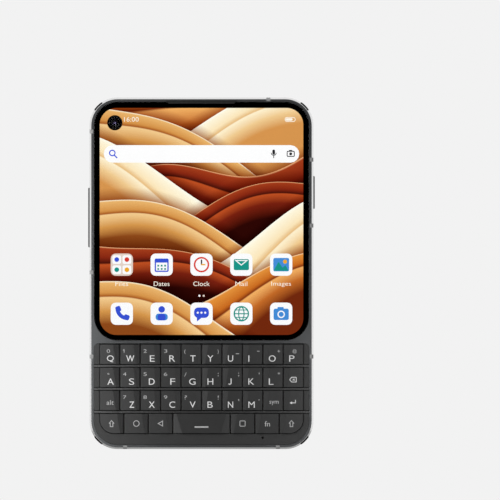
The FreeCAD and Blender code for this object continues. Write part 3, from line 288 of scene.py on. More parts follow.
class Finish:
    # one material and the nodes that make it
    def __init__(self, name):
        self.material = bpy.data.materials.new(name)
        self.material.use_nodes = True
        self.nodes = self.material.node_tree.nodes
        self.links = self.material.node_tree.links
        self.place = self.add("TexCoord", {}, {}, "Object")
        self.x = self.add("SeparateXYZ", {}, {0: self.place}, "X")
        self.y = self.x.output("Y")
        self.z = self.x.output("Z")

    def plug(self, socket, value):
        if isinstance(value, Number):
            self.links.new(value.socket, socket)
        else:
            socket.default_value = value

    def add(self, kind, settings, sockets, output=0):
        node = self.nodes.new("ShaderNode" + kind)
        for name, setting in settings.items():
            setattr(node, name, setting)
        for name, value in sockets.items():
            self.plug(node.inputs[name], value)
        return Number(self, node.outputs[output])

    def noise(self, size, detail=2, stretch=(1, 1, 1)):
        # size is that of the noise's lumps
        stretched = self.add("Mapping", {}, {"Vector": self.place, "Scale": stretch})
        sockets = {"Vector": stretched, "Scale": 1 / (size * mm), "Detail": detail}
        return self.add("TexNoise", {}, sockets)

    def ramp(self, value, *stops):
        ramp = self.add("ValToRGB", {}, {0: value})
        elements = ramp.socket.node.color_ramp.elements
        while len(elements) < len(stops):
            elements.new(1)
        for element, (place, colour) in zip(elements, stops):
            element.position = place
            element.color = colour
        return ramp

    def tint(self, value, dark, light, margin=0.3):
        return self.ramp(value, (margin, dark), (1 - margin, light))

    def mix(self, share, first, second, kind="MIX"):
        settings = {"data_type": "RGBA", "blend_type": kind}
        return self.add("Mix", settings, {0: share, 6: first, 7: second}, 2)

    def away(self, middle):
        # how far it is from a place across and up, seen from the front
        across, up = self.x - middle[0] * mm, self.z - middle[1] * mm
        return (across * across + up * up) ** 0.5

    def relief(self, height, depth):
        return self.add("Bump", {}, {"Height": height, "Distance": depth * mm, "Strength": 1})

    def paint(self, **values):
        surface = self.nodes["Principled BSDF"]
        for name, value in values.items():
            self.plug(surface.inputs[socketNames.get(name, name.title())], value)
        return self.material


def tone(code):
    # a screen colour such as "ffcc88" as the shader takes it
    parts = [int(code[i : i + 2], 16) / 255 for i in (0, 2, 4)]
    parts = [p / 12.92 if p <= 0.04045 else ((p + 0.055) / 1.055) ** 2.4 for p in parts]
    return (*parts, 1)


def shade(level, warmth=0.0):
    return (level * (1 + warmth), level, level * (1 - warmth), 1)


def middleOf(node):
    # a CAD node's middle across and up, in millimetres
    low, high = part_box(node)
    return (low.x + high.x) / 2 / mm, (low.z + high.z) / 2 / mm


# Materials


def blastedMetal(name, level, roughness, warmth=0.0):
    # dark anodised metal with a bead-blasted grain
    finish = Finish(name)
    grain, cloud = finish.noise(0.09, 3), finish.noise(9, 2)
    dark, light = shade(level * 0.86, warmth), shade(level * 1.12, warmth)
    return finish.paint(
        colour=finish.tint(grain * 0.6 + cloud * 0.4, dark, light),
        metallic=1.0,
        roughness=roughness + 0.1 * cloud,
        normal=finish.relief(grain, 0.004),
    )


def polishedEdge():
    # bright cut edge of the frame, with fine lines along it
    finish = Finish("polishedEdge")
    lines = finish.noise(0.05, 2, (1, 0.06, 0.06))
    tint = finish.tint(lines, shade(0.78), shade(0.9), 0.2)
    return finish.paint(colour=tint, metallic=1.0, roughness=0.14 + 0.12 * lines)


def brushedMetal(name, level, roughness, stretch, warmth=0.0):
    finish = Finish(name)
    lines = finish.noise(0.06, 3, stretch)
    dark, light = shade(level * 0.8, warmth), shade(level * 1.2, warmth)
    return finish.paint(
        colour=finish.tint(lines, dark, light, 0.25),
        metallic=1.0,
        roughness=roughness + 0.15 * lines,
        normal=finish.relief(lines, 0.003),
    )


def mouldedPlastic(name, level, roughness, grain=0.07, depth=0.004, warmth=0.0, specular=0.5):
    # satin plastic with a fine spark-eroded grain
    finish = Finish(name)
    speck, cloud = finish.noise(grain, 3), finish.noise(6, 3)
    dark, light = shade(level * 0.85, warmth), shade(level * 1.15, warmth)
    return finish.paint(
        colour=finish.tint(speck * 0.5 + cloud * 0.5, dark, light),
        roughness=roughness + 0.12 * speck,
        specular=specular,
        normal=finish.relief(speck, depth),
    )


glassBend = 1.5  # refraction


def clearGlass():
    # its coating is a trace uneven in tint
    finish = Finish("clearGlass")
    tint = finish.tint(finish.noise(14, 3, (1, 1, 0.4)), shade(1.0), shade(0.985))
    return finish.paint(colour=tint, roughness=0.0, clear=1.0, ior=glassBend)


def blackGlass(name, level=0.003, roughness=0.0):
    finish = Finish(name)
    tint = finish.tint(finish.noise(8, 3), shade(level), shade(level * 1.6))
    return finish.paint(colour=tint, roughness=roughness, ior=glassBend)


def lensGlass(name, middle, radius, rim, glint):
    # a coated lens: its tint turns from one at the rim to a light painted glint in the middle
    finish = Finish(name)
    away = finish.away(middle) / (radius * mm)
    tint = finish.ramp(away, (0.0, tone(glint)), (0.38, tone(rim)), (0.8, shade(0.003)))
    return finish.paint(colour=tint, roughness=0.0, coat=1.0, coatRoughness=0.0, specular=0.8)


def printedInk(name, level):
    finish = Finish(name)
    speck = finish.noise(0.12, 2)
    tint = finish.tint(speck, shade(level * 0.93), shade(level))
    return finish.paint(colour=tint, roughness=0.5 + 0.1 * speck)


litArea = {
    "side": 34.1,
    "low": 38.25,
    "high": 114.3,
    "rounding": 5.6,
    "cameraRing": 2.56,  # dark about the front camera
    "strength": 1.09,  # makes up for what the glass takes
}


def litPaint(finish, tint):
    return finish.paint(
        colour=shade(0), glow=tint, glowStrength=litArea["strength"], specular=0.0
    )


def lightColour(name, upper, lower):
    # lit pixels, a little darker towards the display's bottom
    finish = Finish(name)
    low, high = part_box("display_panel")
    up = (finish.z - low.z) / (high.z - low.z)
    return litPaint(finish, finish.ramp(up, (0.0, tone(lower)), (1.0, tone(upper))))


duneTints = {
    "cream": (
        (0, "fffff0"), (0.07, "fff6da"), (0.3, "fbe6ba"), (0.41, "e8bd80"), (0.44, "fff2d0"),
        (0.7, "f0cb90"), (1, "d6954f"),
    ),
    "tan": (
        (0, "fff4d8"), (0.04, "e9b46c"), (0.27, "d6944a"), (0.35, "a4561e"), (0.38, "f4cd90"),
        (0.7, "d4964c"), (1, "8c481a"),
    ),
    "orange": (
        (0, "ffe0b0"), (0.03, "e2903a"), (0.25, "c86a20"), (0.33, "80300f"), (0.36, "f2b064"),
        (0.65, "c26a28"), (1, "70280e"),
    ),
    "red": (
        (0, "f8ba84"), (0.025, "a23c1b"), (0.2, "862712"), (0.31, "43100a"), (0.34, "bd4f22"),
        (0.6, "762010"), (1, "2c0704"),
    ),
}
# From the display's top to its bottom: the crest's height at the middle, its fall to the side,
# the height, pace and start of its swell, how deep its tint runs, and the tint.
dunes = (
    (1.12, 0.20, 0.08, 2.0, 0.6, 0.62, "orange"),
    (0.84, -0.34, 0.10, 2.6, 0.2, 0.55, "cream"),
    (0.62, 0.42, 0.13, 2.2, 1.9, 0.5, "tan"),
    (0.44, -0.20, 0.15, 2.8, 3.0, 0.46, "red"),
    (0.28, 0.30, 0.16, 2.2, 3.9, 0.55, "cream"),
    (0.04, -0.26, 0.15, 2.5, 0.4, 0.5, "red"),
    (-0.10, 0.28, 0.15, 2.3, 2.3, 0.5, "tan"),
    (-0.30, -0.34, 0.14, 2.9, 4.6, 0.46, "cream"),
    (-0.44, 0.32, 0.14, 2.2, 1.4, 0.5, "red"),
    (-0.62, -0.22, 0.12, 2.6, 5.3, 0.45, "orange"),
    (-0.84, 0.30, 0.12, 2.7, 2.8, 0.6, "tan"),
)
duneLook = {
    "sky": ("f6d39a", "d08a44"),  # above the dunes, at its foot and at its top
    "skyFoot": 0.6,
    "shadow": "a5653a",  # on what lies above a dune, and where it starts and ends
    "shadowPlaces": (0.28, 0.5),
    "shadowDepth": 0.85,
    # how close the folds inside a dune lie, how much that varies across, and how fast
    "folds": (1.1, 0.5, 1.5),
}


def screenPicture():
    # dunes in warm light, one behind the other
    finish = Finish("screenPicture")
    middle = (litArea["low"] + litArea["high"]) / 2
    half = (litArea["high"] - litArea["low"]) / 2
    across = finish.x / (litArea["side"] * mm)
    up = (finish.z - middle * mm) / (half * mm)
    foot, top = (tone(code) for code in duneLook["sky"])
    picture = finish.ramp(up, (duneLook["skyFoot"], foot), (1.0, top))
    start, end = duneLook["shadowPlaces"]
    closeness, change, pace = duneLook["folds"]
    for crest, fall, swell, swellPace, phase, depth, tint in dunes:
        line = crest - fall * across + swell * (across * swellPace + phase).sine()
        away = (line - up) / depth
        below = away * (closeness + change * (across * pace + phase).sine())
        shadow = finish.ramp(away + 0.5, (start, shade(0)), (end, shade(duneLook["shadowDepth"])))
        picture = finish.mix(shadow, picture, tone(duneLook["shadow"]), "MULTIPLY")
        stops = [(place, tone(code)) for place, code in duneTints[tint]]
        picture = finish.mix(away > 0.0, picture, finish.ramp(below, *stops))
    # the panel's border stays dark, with round corners, and so does a ring about the camera
    corner = litArea["rounding"]
    outX = ((abs(finish.x / mm) - (litArea["side"] - corner)) / corner).most(0)
    outZ = ((abs(finish.z / mm - middle) - (half - corner)) / corner).most(0)
    border = (outX * outX + outZ * outZ) > 1.0
    ring = finish.away(middleOf("front_camera")) < litArea["cameraRing"] * mm
    return litPaint(finish, finish.mix(border.most(ring), picture, shade(0)))


soundHoles = {"pitchAcross": 0.42, "pitchUp": 0.36, "size": 0.07}


def soundMesh():
    # dark sheet with rows of fine round holes
    finish = Finish("soundMesh")
    across = (finish.x / (soundHoles["pitchAcross"] * mm)).fraction() - 0.5
    up = (finish.z / (soundHoles["pitchUp"] * mm)).fraction() - 0.5
    hole = (across * across + up * up) < soundHoles["size"]
    tint = finish.mix(hole, shade(0.03), shade(0.002))
    return finish.paint(colour=tint, metallic=0.6, roughness=0.45 + 0.3 * hole)


boardLook = {
    "trackPitch": 0.9,
    "trackShare": 0.12,  # of the pitch, to either side of a track's middle
    "mask": (0.008, 0.06, 0.022, 1),
    "track": (0.02, 0.13, 0.05, 1),
    "slack": 0.01,
}


def circuitBoard(name, front, back):
    # solder mask with copper tracks; what stands off the board is tinned steel
    finish = Finish(name)
    row = (finish.x / (boardLook["trackPitch"] * mm) + 2 * finish.noise(3.0, 0)).fraction()
    tracks = abs(row - 0.5) < boardLook["trackShare"]
    mask = finish.mix(tracks, boardLook["mask"], boardLook["track"])
    front, back = front - boardLook["slack"], back + boardLook["slack"]
    steel = (finish.y < front * mm) + (finish.y > back * mm)
    smudge = finish.noise(2.5, 3)
    bright = finish.tint(smudge, shade(0.45), shade(0.6))
    return finish.paint(
        colour=finish.mix(steel, mask, bright), metallic=steel, roughness=0.3 + 0.15 * smudge
    )


foilLook = {"film": shade(0.02), "tape": (0.28, 0.2, 0.05, 1), "tapeHeight": 4}


def foilWrap():
    # black film over the cells, with a lighter taped end
    finish = Finish("foilWrap")
    tape = finish.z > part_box("battery")[1].z - foilLook["tapeHeight"] * mm
    crease = finish.noise(5, 4, (1, 1, 0.5))
    tint = finish.mix(tape, foilLook["film"], foilLook["tape"])
    return finish.paint(
        colour=tint, roughness=0.32 + 0.25 * crease, normal=finish.relief(crease, 0.05)
    )


def flashDiffuser():
    # cream lens over the flash, speckled by its fine facets
    finish = Finish("flashDiffuser")
    speck = finish.noise(0.35, 2)
    tint = finish.tint(speck, tone("cfc4ae"), tone("f2eadc"))
    return finish.paint(
        colour=tint, roughness=0.25 + 0.2 * speck, coat=0.6, normal=finish.relief(speck, 0.03)
    )


metalFrame = blastedMetal("metalFrame", 0.118, 0.4, -0.03)
metalSide = blastedMetal("metalSide", 0.05, 0.45)
metalTrim = blastedMetal("metalTrim", 0.2, 0.35, -0.02)
edgeBright = polishedEdge()
bandPlastic = mouldedPlastic("bandPlastic", 0.24, 0.5)
# painted reflection: the corner inserts' black stands in for the dark reflection at the frame's
# corners
bumperRubber = mouldedPlastic("bumperRubber", 0.003, 0.8, 0.12, 0.008, 0, 0.04)
bezelPlastic = mouldedPlastic("bezelPlastic", 0.022, 0.44)
keyPlastic = mouldedPlastic("keyPlastic", 0.018, 0.42, 0.06, 0.003)
coverPlastic = mouldedPlastic("coverPlastic", 0.018, 0.3, 0.05, 0.003, 0.04, 1.0)
gasketBlack = mouldedPlastic("gasketBlack", 0.0015, 0.6, specular=0.1)
# black for the insides, and also painted shade on the sides of the keys, the keyboard plate and its
# strips
insideBlack = mouldedPlastic("insideBlack", 0.006, 0.6, 0.2, 0.01, specular=0.2)
cameraBlack = mouldedPlastic("cameraBlack", 0.012, 0.6, 0.2, 0.01, specular=0.2)
matRubber = mouldedPlastic("matRubber", 0.25, 0.55)
fretMetal = brushedMetal("fretMetal", 0.1, 0.36, (0.05, 1, 1))
plainSteel = brushedMetal("plainSteel", 0.5, 0.28, (1, 1, 0.08))
goldPlate = brushedMetal("goldPlate", 0.5, 0.22, (1, 1, 0.2), 0.5)
glassClear = clearGlass()
glassBlack = blackGlass("glassBlack")
barrelBlack = blackGlass("barrelBlack", 0.004, 0.05)
legendInk = printedInk("legendInk", 0.69)
smallInk = printedInk("smallInk", 0.46)
dimInk = printedInk("dimInk", 0.4)
greyInk = printedInk("greyInk", 0.03)
dunePicture = screenPicture()
earMesh = soundMesh()
batteryWrap = foilWrap()
flashCream = flashDiffuser()
print("materials made")


# Modelling helpers

meshRules = {
    "mergeGap": 0.002,
    "flatAngle": 0.3,  # degrees between the triangles of one face
    "roundedFrom": 30,  # degrees that an edge turns by
}
fontRules = {
    "halfLine": 0.049,  # half the thickness of the lines, where the letters' size is 1
    "curveSteps": 4,
    "mergeGap": 0.004,
}


def onlySelect(*pieces):
    bpy.ops.object.select_all(action="DESELECT")
    for piece in pieces:
        piece.select_set(True)
    bpy.context.view_layer.objects.active = pieces[0]


def applyModifiers(piece):
    onlySelect(piece)
    for modifier in list(piece.modifiers):
        bpy.ops.object.modifier_apply(modifier=modifier.name)


def editAll():
    bpy.ops.object.mode_set(mode="EDIT")
    bpy.ops.mesh.select_all(action="SELECT")


def endEdit():
    bpy.ops.object.mode_set(mode="OBJECT")


def copyNode(node, name, *materials):
    # a merged copy of a CAD node, with its triangles joined into whole faces
    piece = bpy.data.objects.new(name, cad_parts[node].data.copy())
    bpy.context.scene.collection.objects.link(piece)
    piece.data.materials.clear()
    for material in materials:
        piece.data.materials.append(material)
    onlySelect(piece)
    bpy.ops.mesh.customdata_custom_splitnormals_clear()
    editAll()
    bpy.ops.mesh.remove_doubles(threshold=meshRules["mergeGap"] * mm)
    bpy.ops.mesh.dissolve_limited(angle_limit=math.radians(meshRules["flatAngle"]))
    endEdit()
    return piece


def paintFaces(piece, slotIndex, chosen):
    for face in piece.data.polygons:
        if chosen(face):
            face.material_index = slotIndex


def facesFront(face):
    return face.normal.y < -0.9


def roundEdges(piece, width, segments=2, sharper=meshRules["roundedFrom"]):
    rounding = piece.modifiers.new("rounding", "BEVEL")
    rounding.width = width * mm
    rounding.segments = segments
    rounding.limit_method = "ANGLE"
    rounding.angle_limit = math.radians(sharper)
    rounding.use_clamp_overlap = False
    applyModifiers(piece)


def smoothShading(piece, angle=50):
    # flat faces stay flat, and only the rounded edges between them shade smoothly
    onlySelect(piece)
    bpy.ops.object.shade_smooth_by_angle(angle=math.radians(angle), keep_sharp_edges=False)
    weighted = piece.modifiers.new("weighted", "WEIGHTED_NORMAL")
    weighted.keep_sharp = True
    applyModifiers(piece)


def join(pieces, name):
    onlySelect(*pieces)
    bpy.ops.object.join()
    piece = bpy.context.object
    piece.name = name
    return piece


def carve(piece, chosen, steps):
    # sinks or raises rings in the chosen faces: each step is the ring's width,
    # how far its inner edge stands out, and the material inside it
    onlySelect(piece)
    bpy.ops.object.mode_set(mode="EDIT")
    bpy.ops.mesh.select_mode(type="FACE")
    bpy.ops.mesh.select_all(action="DESELECT")
    cage = bmesh.from_edit_mesh(piece.data)
    for face in cage.faces:
        face.select_set(chosen(face))
    bmesh.update_edit_mesh(piece.data)
    for width, rise, slotIndex in steps:
        bpy.ops.mesh.inset(thickness=width * mm, depth=rise * mm, use_individual=True)
        piece.active_material_index = slotIndex
        bpy.ops.object.material_slot_assign()
    endEdit()


def mount(piece, body, slotName, *nodes):
    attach(piece, body)
    if nodes:
        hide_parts(*nodes)


def dress(
    names, *materials,
    body="phone", paints=(), carvings=(), width=0, segments=2, angle=50, extras=(),
):
    # a piece that stands for a CAD node: some faces are painted or carved, edges are rounded
    # by width, and small parts are joined on; the names are the node's, the piece's and its slot's;
    # the slot's name is not used
    node, name, slotName = names.split()
    piece = copyNode(node, name, *materials)
    for slotIndex, chosen in paints:
        paintFaces(piece, slotIndex, chosen)
    for chosen, steps in carvings:
        carve(piece, chosen, steps)
    if width:
        roundEdges(piece, width, segments)
    smoothShading(piece, angle)
    if extras:
        piece = join([piece, *extras], name)
    mount(piece, body, slotName, node)
    return piece


def carry(node, material):
    # a CAD node that is shown as it is
    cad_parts[node].material_slots[0].material = material


def endFaces(node, side, depth, chosen=lambda across: True):
    # a test for faces at a node's front end (side -1) or rear end (side 1)
    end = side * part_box(node)[side > 0].y - depth * mm

    def isEnd(face):
        place = face.calc_center_median()
        return side * face.normal.y > 0.9 and side * place.y > end and chosen(place.x / mm)

    return isEnd


def flatShape(corners, front, depth, material, rounding=0.0, stroke=0.0):
    # a flat shape that faces the viewer, from its corners across and up;
    # a stroke leaves only its outline
    bpy.ops.mesh.primitive_circle_add(vertices=len(corners), radius=mm, fill_type="NGON")
    shape = bpy.context.object
    for vertex, (across, up) in zip(shape.data.vertices, corners):
        vertex.co = (across * mm, (front + depth) * mm, up * mm)
    shape.data.materials.append(material)
    editAll()
    if rounding:
        bpy.ops.mesh.bevel(offset=rounding * mm, segments=4, affect="VERTICES")
    if stroke:
        bpy.ops.mesh.select_mode(type="FACE")
        bpy.ops.mesh.inset(thickness=stroke * mm, depth=0)
        bpy.ops.mesh.delete(type="FACE")
        bpy.ops.mesh.select_all(action="SELECT")
    bpy.ops.mesh.extrude_region_move(TRANSFORM_OT_translate={"value": (0, -depth * mm, 0)})
    bpy.ops.mesh.select_all(action="SELECT")
    bpy.ops.mesh.normals_make_consistent(inside=False)
    endEdit()
    return shape


def box(across, up, width, height, turn=0):
    # corners of a rectangle about its middle, turned anticlockwise by degrees
    corners = []
    cosine, sine = math.cos(math.radians(turn)), math.sin(math.radians(turn))
    for x, z in ((-1, -1), (1, -1), (1, 1), (-1, 1)):
        x, z = x * width / 2, z * height / 2
        corners.append((across + x * cosine - z * sine, up + x * sine + z * cosine))
    return corners


def arc(across, up, radius, start=0, turn=360, count=32, squeeze=1.0):
    # points on an arc; a whole circle leaves its last point out
    last = count if turn == 360 else count - 1
    angles = [math.radians(start + turn * i / last) for i in range(count)]
    return [
        (across + radius * squeeze * math.cos(a), up + radius * math.sin(a)) for a in angles
    ]


def strip(across, up, outer, inner, start, turn, count=14):
    # what lies between two arcs
    rims = [arc(across, up, radius, start, turn, count) for radius in (outer, inner)]
    return rims[0] + rims[1][::-1]


def flatText(words, middle, size, front, depth, material):
    # words that face the viewer and fill a rectangle
    bpy.ops.object.text_add(rotation=(math.pi / 2, 0, 0))
    text = bpy.context.object
    text.data.body = words
    bpy.context.view_layer.update()
    # words that are drawn wider than the font's get thinner lines, and narrower ones thicker
    stretch = size[0] / size[1] * text.dimensions.y / text.dimensions.x
    text.data.offset = fontRules["halfLine"] * (stretch**-0.5 - 1)
    text.data.extrude = 0.5
    text.data.resolution_u = fontRules["curveSteps"]
    bpy.ops.object.convert(target="MESH")
    bpy.ops.object.transform_apply()
    # the letters' fronts, sides and backs are joined into closed shapes
    editAll()
    bpy.ops.mesh.remove_doubles(threshold=fontRules["mergeGap"])
    bpy.ops.mesh.dissolve_degenerate(threshold=fontRules["mergeGap"])
    endEdit()
    places = [vertex.co for vertex in text.data.vertices]
    for axis, centre, span in ((0, middle[0], size[0]), (2, middle[1], size[1])):
        low = min(place[axis] for place in places)
        high = max(place[axis] for place in places)
        for place in places:
            place[axis] = (centre + ((place[axis] - low) / (high - low) - 0.5) * span) * mm
    for place in places:
        place.y = (front + (place.y + 0.5) * depth) * mm
    text.data.materials.clear()
    text.data.materials.append(material)
    return text


def moved(corners, across, up):
    return [(across + x, up + z) for x, z in corners]


def shift(shape, across, up):
    for vertex in shape.data.vertices:
        vertex.co += Vector((across * mm, 0, up * mm))
    return shape


# Frame and its inserts

frameLook = {
    "edgeRound": 0.04,
    "bumperRound": 0.14,
    "bevelTilt": (0.6, 0.8),
    "coveredDepth": 0.1,  # behind the rim
}


def dressFrame():
    least, most = frameLook["bevelTilt"]
    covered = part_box("mid_frame")[0].y + frameLook["coveredDepth"] * mm
    paints = (
        (1, lambda face: least < abs(face.normal.y) < most),
        # black foam and paint in what the glass and the keyboard cover
        (2, lambda face: facesFront(face) and face.center.y > covered),
    )
    materials = (metalFrame, edgeBright, insideBlack)
    width = frameLook["edgeRound"]
    dress("mid_frame frame_shell frame_metal", *materials, paints=paints, width=width)
    width = frameLook["bumperRound"]
    # the inserts' black is a painted reflection, for the dark reflection at the corners
    dress("corner_bumpers corner_inserts bumper_rubber", bumperRubber, width=width, segments=3)
    carry("antenna_bands", bandPlastic)


dressFrame()
print("frame made")


# Keyboard

keyLook = {
    "edgeRound": 0.14,
    "roundedFrom": 10,  # degrees
    "capitalHeight": 2.1,
    "tail": 0.2,  # of the Q, below the line
    "letterFoot": 2.45,  # below the key's middle
    "letterMargin": 1.8,  # to the edge that is nearer the phone's middle
    "smallMargin": 0.9,  # to the other edge
    "smallAside": 0.37,  # on the outermost keys, from the key's middle
    "outermost": 30,  # from the phone's middle
    "letterLine": 0.3,
    "digitLine": 0.19,
    "hookTurn": -150,  # degrees, of the letter J
    "plateSlack": 0.05,
}
inkPlace = (-0.01, 0.04)  # the letters' fronts, in front of the key, and their depth
# darkerThan: faces leaning back further than this get the black painted shade of the gaps
bezelLook = {"edgeRound": 0.12, "fretRound": 0.1, "darkerThan": -0.7, "boardDepth": 0.6}
letterWidths = {
    "I": 0.32, "J": 1.22, "EFLZ": 1.6, "BPSTNU": 1.76, "CDHKRVXY": 1.94, "AGM": 2.14, "OQ": 2.3,
    "W": 2.7,
}
letterSigns = dict(zip("qwertyuiopasdfghjklzxcvbnm", "0123()_-+@*456/:;'\"789?!,."))
# Width and height of the small signs, and how far they stand above the key's middle.
signBoxes = {
    "1": (0.46, 1.15, 1.1),
    "023456789": (1.1, 1.15, 1.1),
    "()": (0.4, 1.5, 0.85),
    "_": (1.1, 0.18, 0.2),
    "-": (0.85, 0.2, 1.05),
    "+": (0.85, 0.85, 1.05),
    "@": (1.35, 1.35, 1.0),
    "*": (0.75, 0.75, 1.2),
    "/": (0.7, 1.35, 0.95),
    ":": (0.28, 1.15, 0.95),
    ";": (0.32, 1.3, 0.9),
    "'": (0.25, 0.6, 1.3),
    '"': (0.65, 0.6, 1.3),
    "?": (0.85, 1.3, 1.05),
    "!": (0.28, 1.35, 1.0),
    ",": (0.32, 0.6, 0.1),
    ".": (0.32, 0.32, 0.2),
}
# Words: what they fill, and where from the key's middle.
wordBoxes = {
    "alt": ((2.35, 1.55), (0.2, -0.68)),
    "sym": ((3.1, 1.45), (0.35, -0.85)),
    "fn": ((1.8, 1.75), (0.1, -0.1)),
}
signLine = 0.24
# The other keys' shapes, from the key's middle: corners, ink, rounding and the outline's width.
arrowUp = [(-0.56, -1.15), (0.56, -1.15), (0.56, 0), (1.0, 0), (0, 1.17), (-1.0, 0), (-0.56, 0)]
triangle = [(0.84, -1.04), (0.84, 1.04), (-1.0, 0)]
arrowHead = [(-1.32, -0.8), (-0.47, -1.28), (-0.47, -0.32)]
tag = [(1.05, -1.67), (1.05, 0.17), (-0.65, 0.17), (-1.45, -0.75), (-0.65, -1.67)]
keySigns = {
    **dict.fromkeys(("shift_left", "shift_right"), [(arrowUp, dimInk, 0, signLine)]),
    "circle": [(arc(0.12, 0, 1.06), dimInk, 0, signLine)],
    "back": [(triangle, dimInk, 0, signLine)],
    "square": [(box(0, 0, 2.0, 2.0), dimInk, 0.36, signLine)],
    "space": [(box(0, -1.17, 4.65, 0.5), dimInk, 0.1)],
    "enter": [
        (arrowHead, legendInk),
        (box(0.15, -0.8, 1.3, 0.26), legendInk),
        (box(0.67, -0.3, 0.26, 1.0), legendInk),
    ],
    "backspace": [
        (tag, legendInk, 0.2, signLine),
        (box(0.07, -0.75, 0.85, 0.2, 45), legendInk),
        (box(0.07, -0.75, 0.85, 0.2, -45), legendInk),
    ],
}


def broadFace(piece):
    # how deep the key's broad face lies, as a function of the place across and up
    face = max(filter(facesFront, piece.data.polygons), key=lambda front: front.area)
    normal = face.normal.copy()
    middle = face.center.copy()
    return lambda x, z: middle.y - (normal.x * (x - middle.x) + normal.z * (z - middle.z)) / normal.y


def capEdges(cap):
    # left, right, lower and upper edge of what stands in front of the keyboard plate
    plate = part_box("keyboard_bezel")[0].y - keyLook["plateSlack"] * mm
    places = [vertex.co / mm for vertex in cap.data.vertices if vertex.co.y < plate]
    across = [place.x for place in places]
    up = [place.z for place in places]
    return min(across), max(across), min(up), max(up)


def hookCorners(width, height):
    # the font's J hangs below the line, so this one is drawn
    outer, top = width / 2, height / 2
    inner = outer - keyLook["letterLine"]
    hook = strip(0, outer - top, outer, inner, 0, keyLook["hookTurn"])
    return [(outer, top), *hook, (inner, top)]


def oneCorners(width, height):
    # the font's 1 is a bare bar, so this one is drawn with a flag
    right, top, stem = width / 2, height / 2, width / 2 - keyLook["digitLine"]
    flag = [(stem, top), (-right, top - 0.24), (-right, top - 0.44), (stem, top - 0.28)]
    return [(stem, -top), (right, -top), (right, top), *flag]


drawnSigns = {"J": hookCorners, "1": oneCorners}


def flatSign(sign, middle, size, ink):
    if sign not in drawnSigns:
        return flatText(sign, middle, size, *inkPlace, ink)
    return flatShape(moved(drawnSigns[sign](*size), *middle), *inkPlace, ink)


def valueFor(sign, table):
    # each of the table's keys holds all the signs that share a value
    return next(value for signs, value in table.items() if sign in signs)


def letterPieces(letter, edges):
    # the letter stands nearer the phone's middle, and its small sign away from it
    left, right, low, high = edges
    middle = (left + right) / 2
    width, height = valueFor(letter.upper(), letterWidths), keyLook["capitalHeight"]
    foot = (low + high) / 2 - keyLook["letterFoot"]
    if letter == "q":
        foot, height = foot - keyLook["tail"], height + keyLook["tail"]
    sign = letterSigns[letter]
    signWidth, signHeight, rise = valueFor(sign, signBoxes)
    side = math.copysign(1, middle)
    near, far = (left, right) if middle > 0 else (right, left)
    letterAt = near + side * (keyLook["letterMargin"] + width / 2)
    signAt = far - side * (keyLook["smallMargin"] + signWidth / 2)
    if abs(middle) > keyLook["outermost"]:
        signAt = middle + side * keyLook["smallAside"]
    place, signPlace = (letterAt, foot + height / 2), (signAt, (low + high) / 2 + rise)
    return [
        flatSign(letter.upper(), place, (width, height), legendInk),
        flatSign(sign, signPlace, (signWidth, signHeight), smallInk),
    ]


def signPieces(name, edges):
    # what is printed on a key that has no letter
    middle = (edges[0] + edges[1]) / 2, (edges[2] + edges[3]) / 2
    if name in wordBoxes:
        size, place = wordBoxes[name]
        return [flatText(name, moved([place], *middle)[0], size, *inkPlace, smallInk)]
    return [
        flatShape(moved(corners, *middle), *inkPlace, *rest) for corners, *rest in keySigns[name]
    ]


def paintGapShade(piece):
    # painted shade: the piece's second material, black, is on all but its front, so the gaps look
    # dark
    paintFaces(piece, 1, lambda face: face.normal.y > bezelLook["darkerThan"])


def dressKey(node):
    name = node[len("key_") :]
    cap = copyNode(node, name + "_cap", keyPlastic, insideBlack)
    depthAt = broadFace(cap)
    edges = capEdges(cap)
    roundEdges(cap, keyLook["edgeRound"], 3, keyLook["roundedFrom"])
    smoothShading(cap)
    # painted shade: the cap's sides are black, so the gaps between keys look dark
    paintGapShade(cap)
    signs = (letterPieces if name in letterSigns else signPieces)(name, edges)
    for sign in signs:
        for vertex in sign.data.vertices:
            vertex.co.y += depthAt(vertex.co.x, vertex.co.z)
    mount(join([cap, *signs], name + "_cap"), node, "key_plastic", node)


def dressKeyboard():
    for names, material, width in (
        ("keyboard_bezel keyboard_plate bezel_plastic", bezelPlastic, bezelLook["edgeRound"]),
        ("frets metal_strips fret_metal", fretMetal, bezelLook["fretRound"]),
    ):
        # painted shade: the sides of the plate and the strips are black, so their gaps look dark
        paintGapShade(dress(names, material, insideBlack, width=width, segments=3))
    for node in list(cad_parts):
        if node.startswith("key_") and node != "key_mat":
            dressKey(node)
    carry("key_mat", matRubber)
    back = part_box("keyboard_board")[1].y / mm
    carry("keyboard_board", circuitBoard("keyboardBoard", back - bezelLook["boardDepth"], back))


dressKeyboard()
print("keyboard made")


# Display, glass, front camera and earpiece

displayLook = {
    "glassSmooth": 60,  # degrees
    # the lens's light middle tint is a painted glint
    "lens": (1.25, "1c1640", "ccc0ff"),  # radius, and tints at the rim and in the middle
    "barrelEnd": 0.1,  # how deep the barrel's front end reaches
    "earpieceRound": 0.06,
}


def dressDisplay():
    dress("cover_glass front_glass cover_glass", glassClear, angle=displayLook["glassSmooth"])
    panel = copyNode("display_panel", "lit_panel", insideBlack, dunePicture)
    paintFaces(panel, 1, facesFront)
    mount(panel, "phone", "display", "display_panel")
    carry("display_gasket", gasketBlack)


def dressFrontCamera():
    lens = lensGlass("frontLens", middleOf("front_camera"), *displayLook["lens"])
    end = endFaces("front_camera", -1, displayLook["barrelEnd"])
    steps = ((0.6, 0, 0), (0.05, -0.12, 0), (0.45, 0, 0), (0.05, -0.1, 0), (0.25, 0, 0))
    dome = ((0.05, 0.03, 1), (0.3, 0.07, 1), (0.3, 0.02, 1))
    names = "front_camera front_camera_barrel lens_black"
    dress(names, cameraBlack, lens, carvings=[(end, steps + dome)])


def dressEarpiece():
    dress("earpiece earpiece_mesh mesh_metal", earMesh, width=displayLook["earpieceRound"])


dressDisplay()
dressFrontCamera()
dressEarpiece()
print("display made")


# What the display shows, as thin shapes on the panel

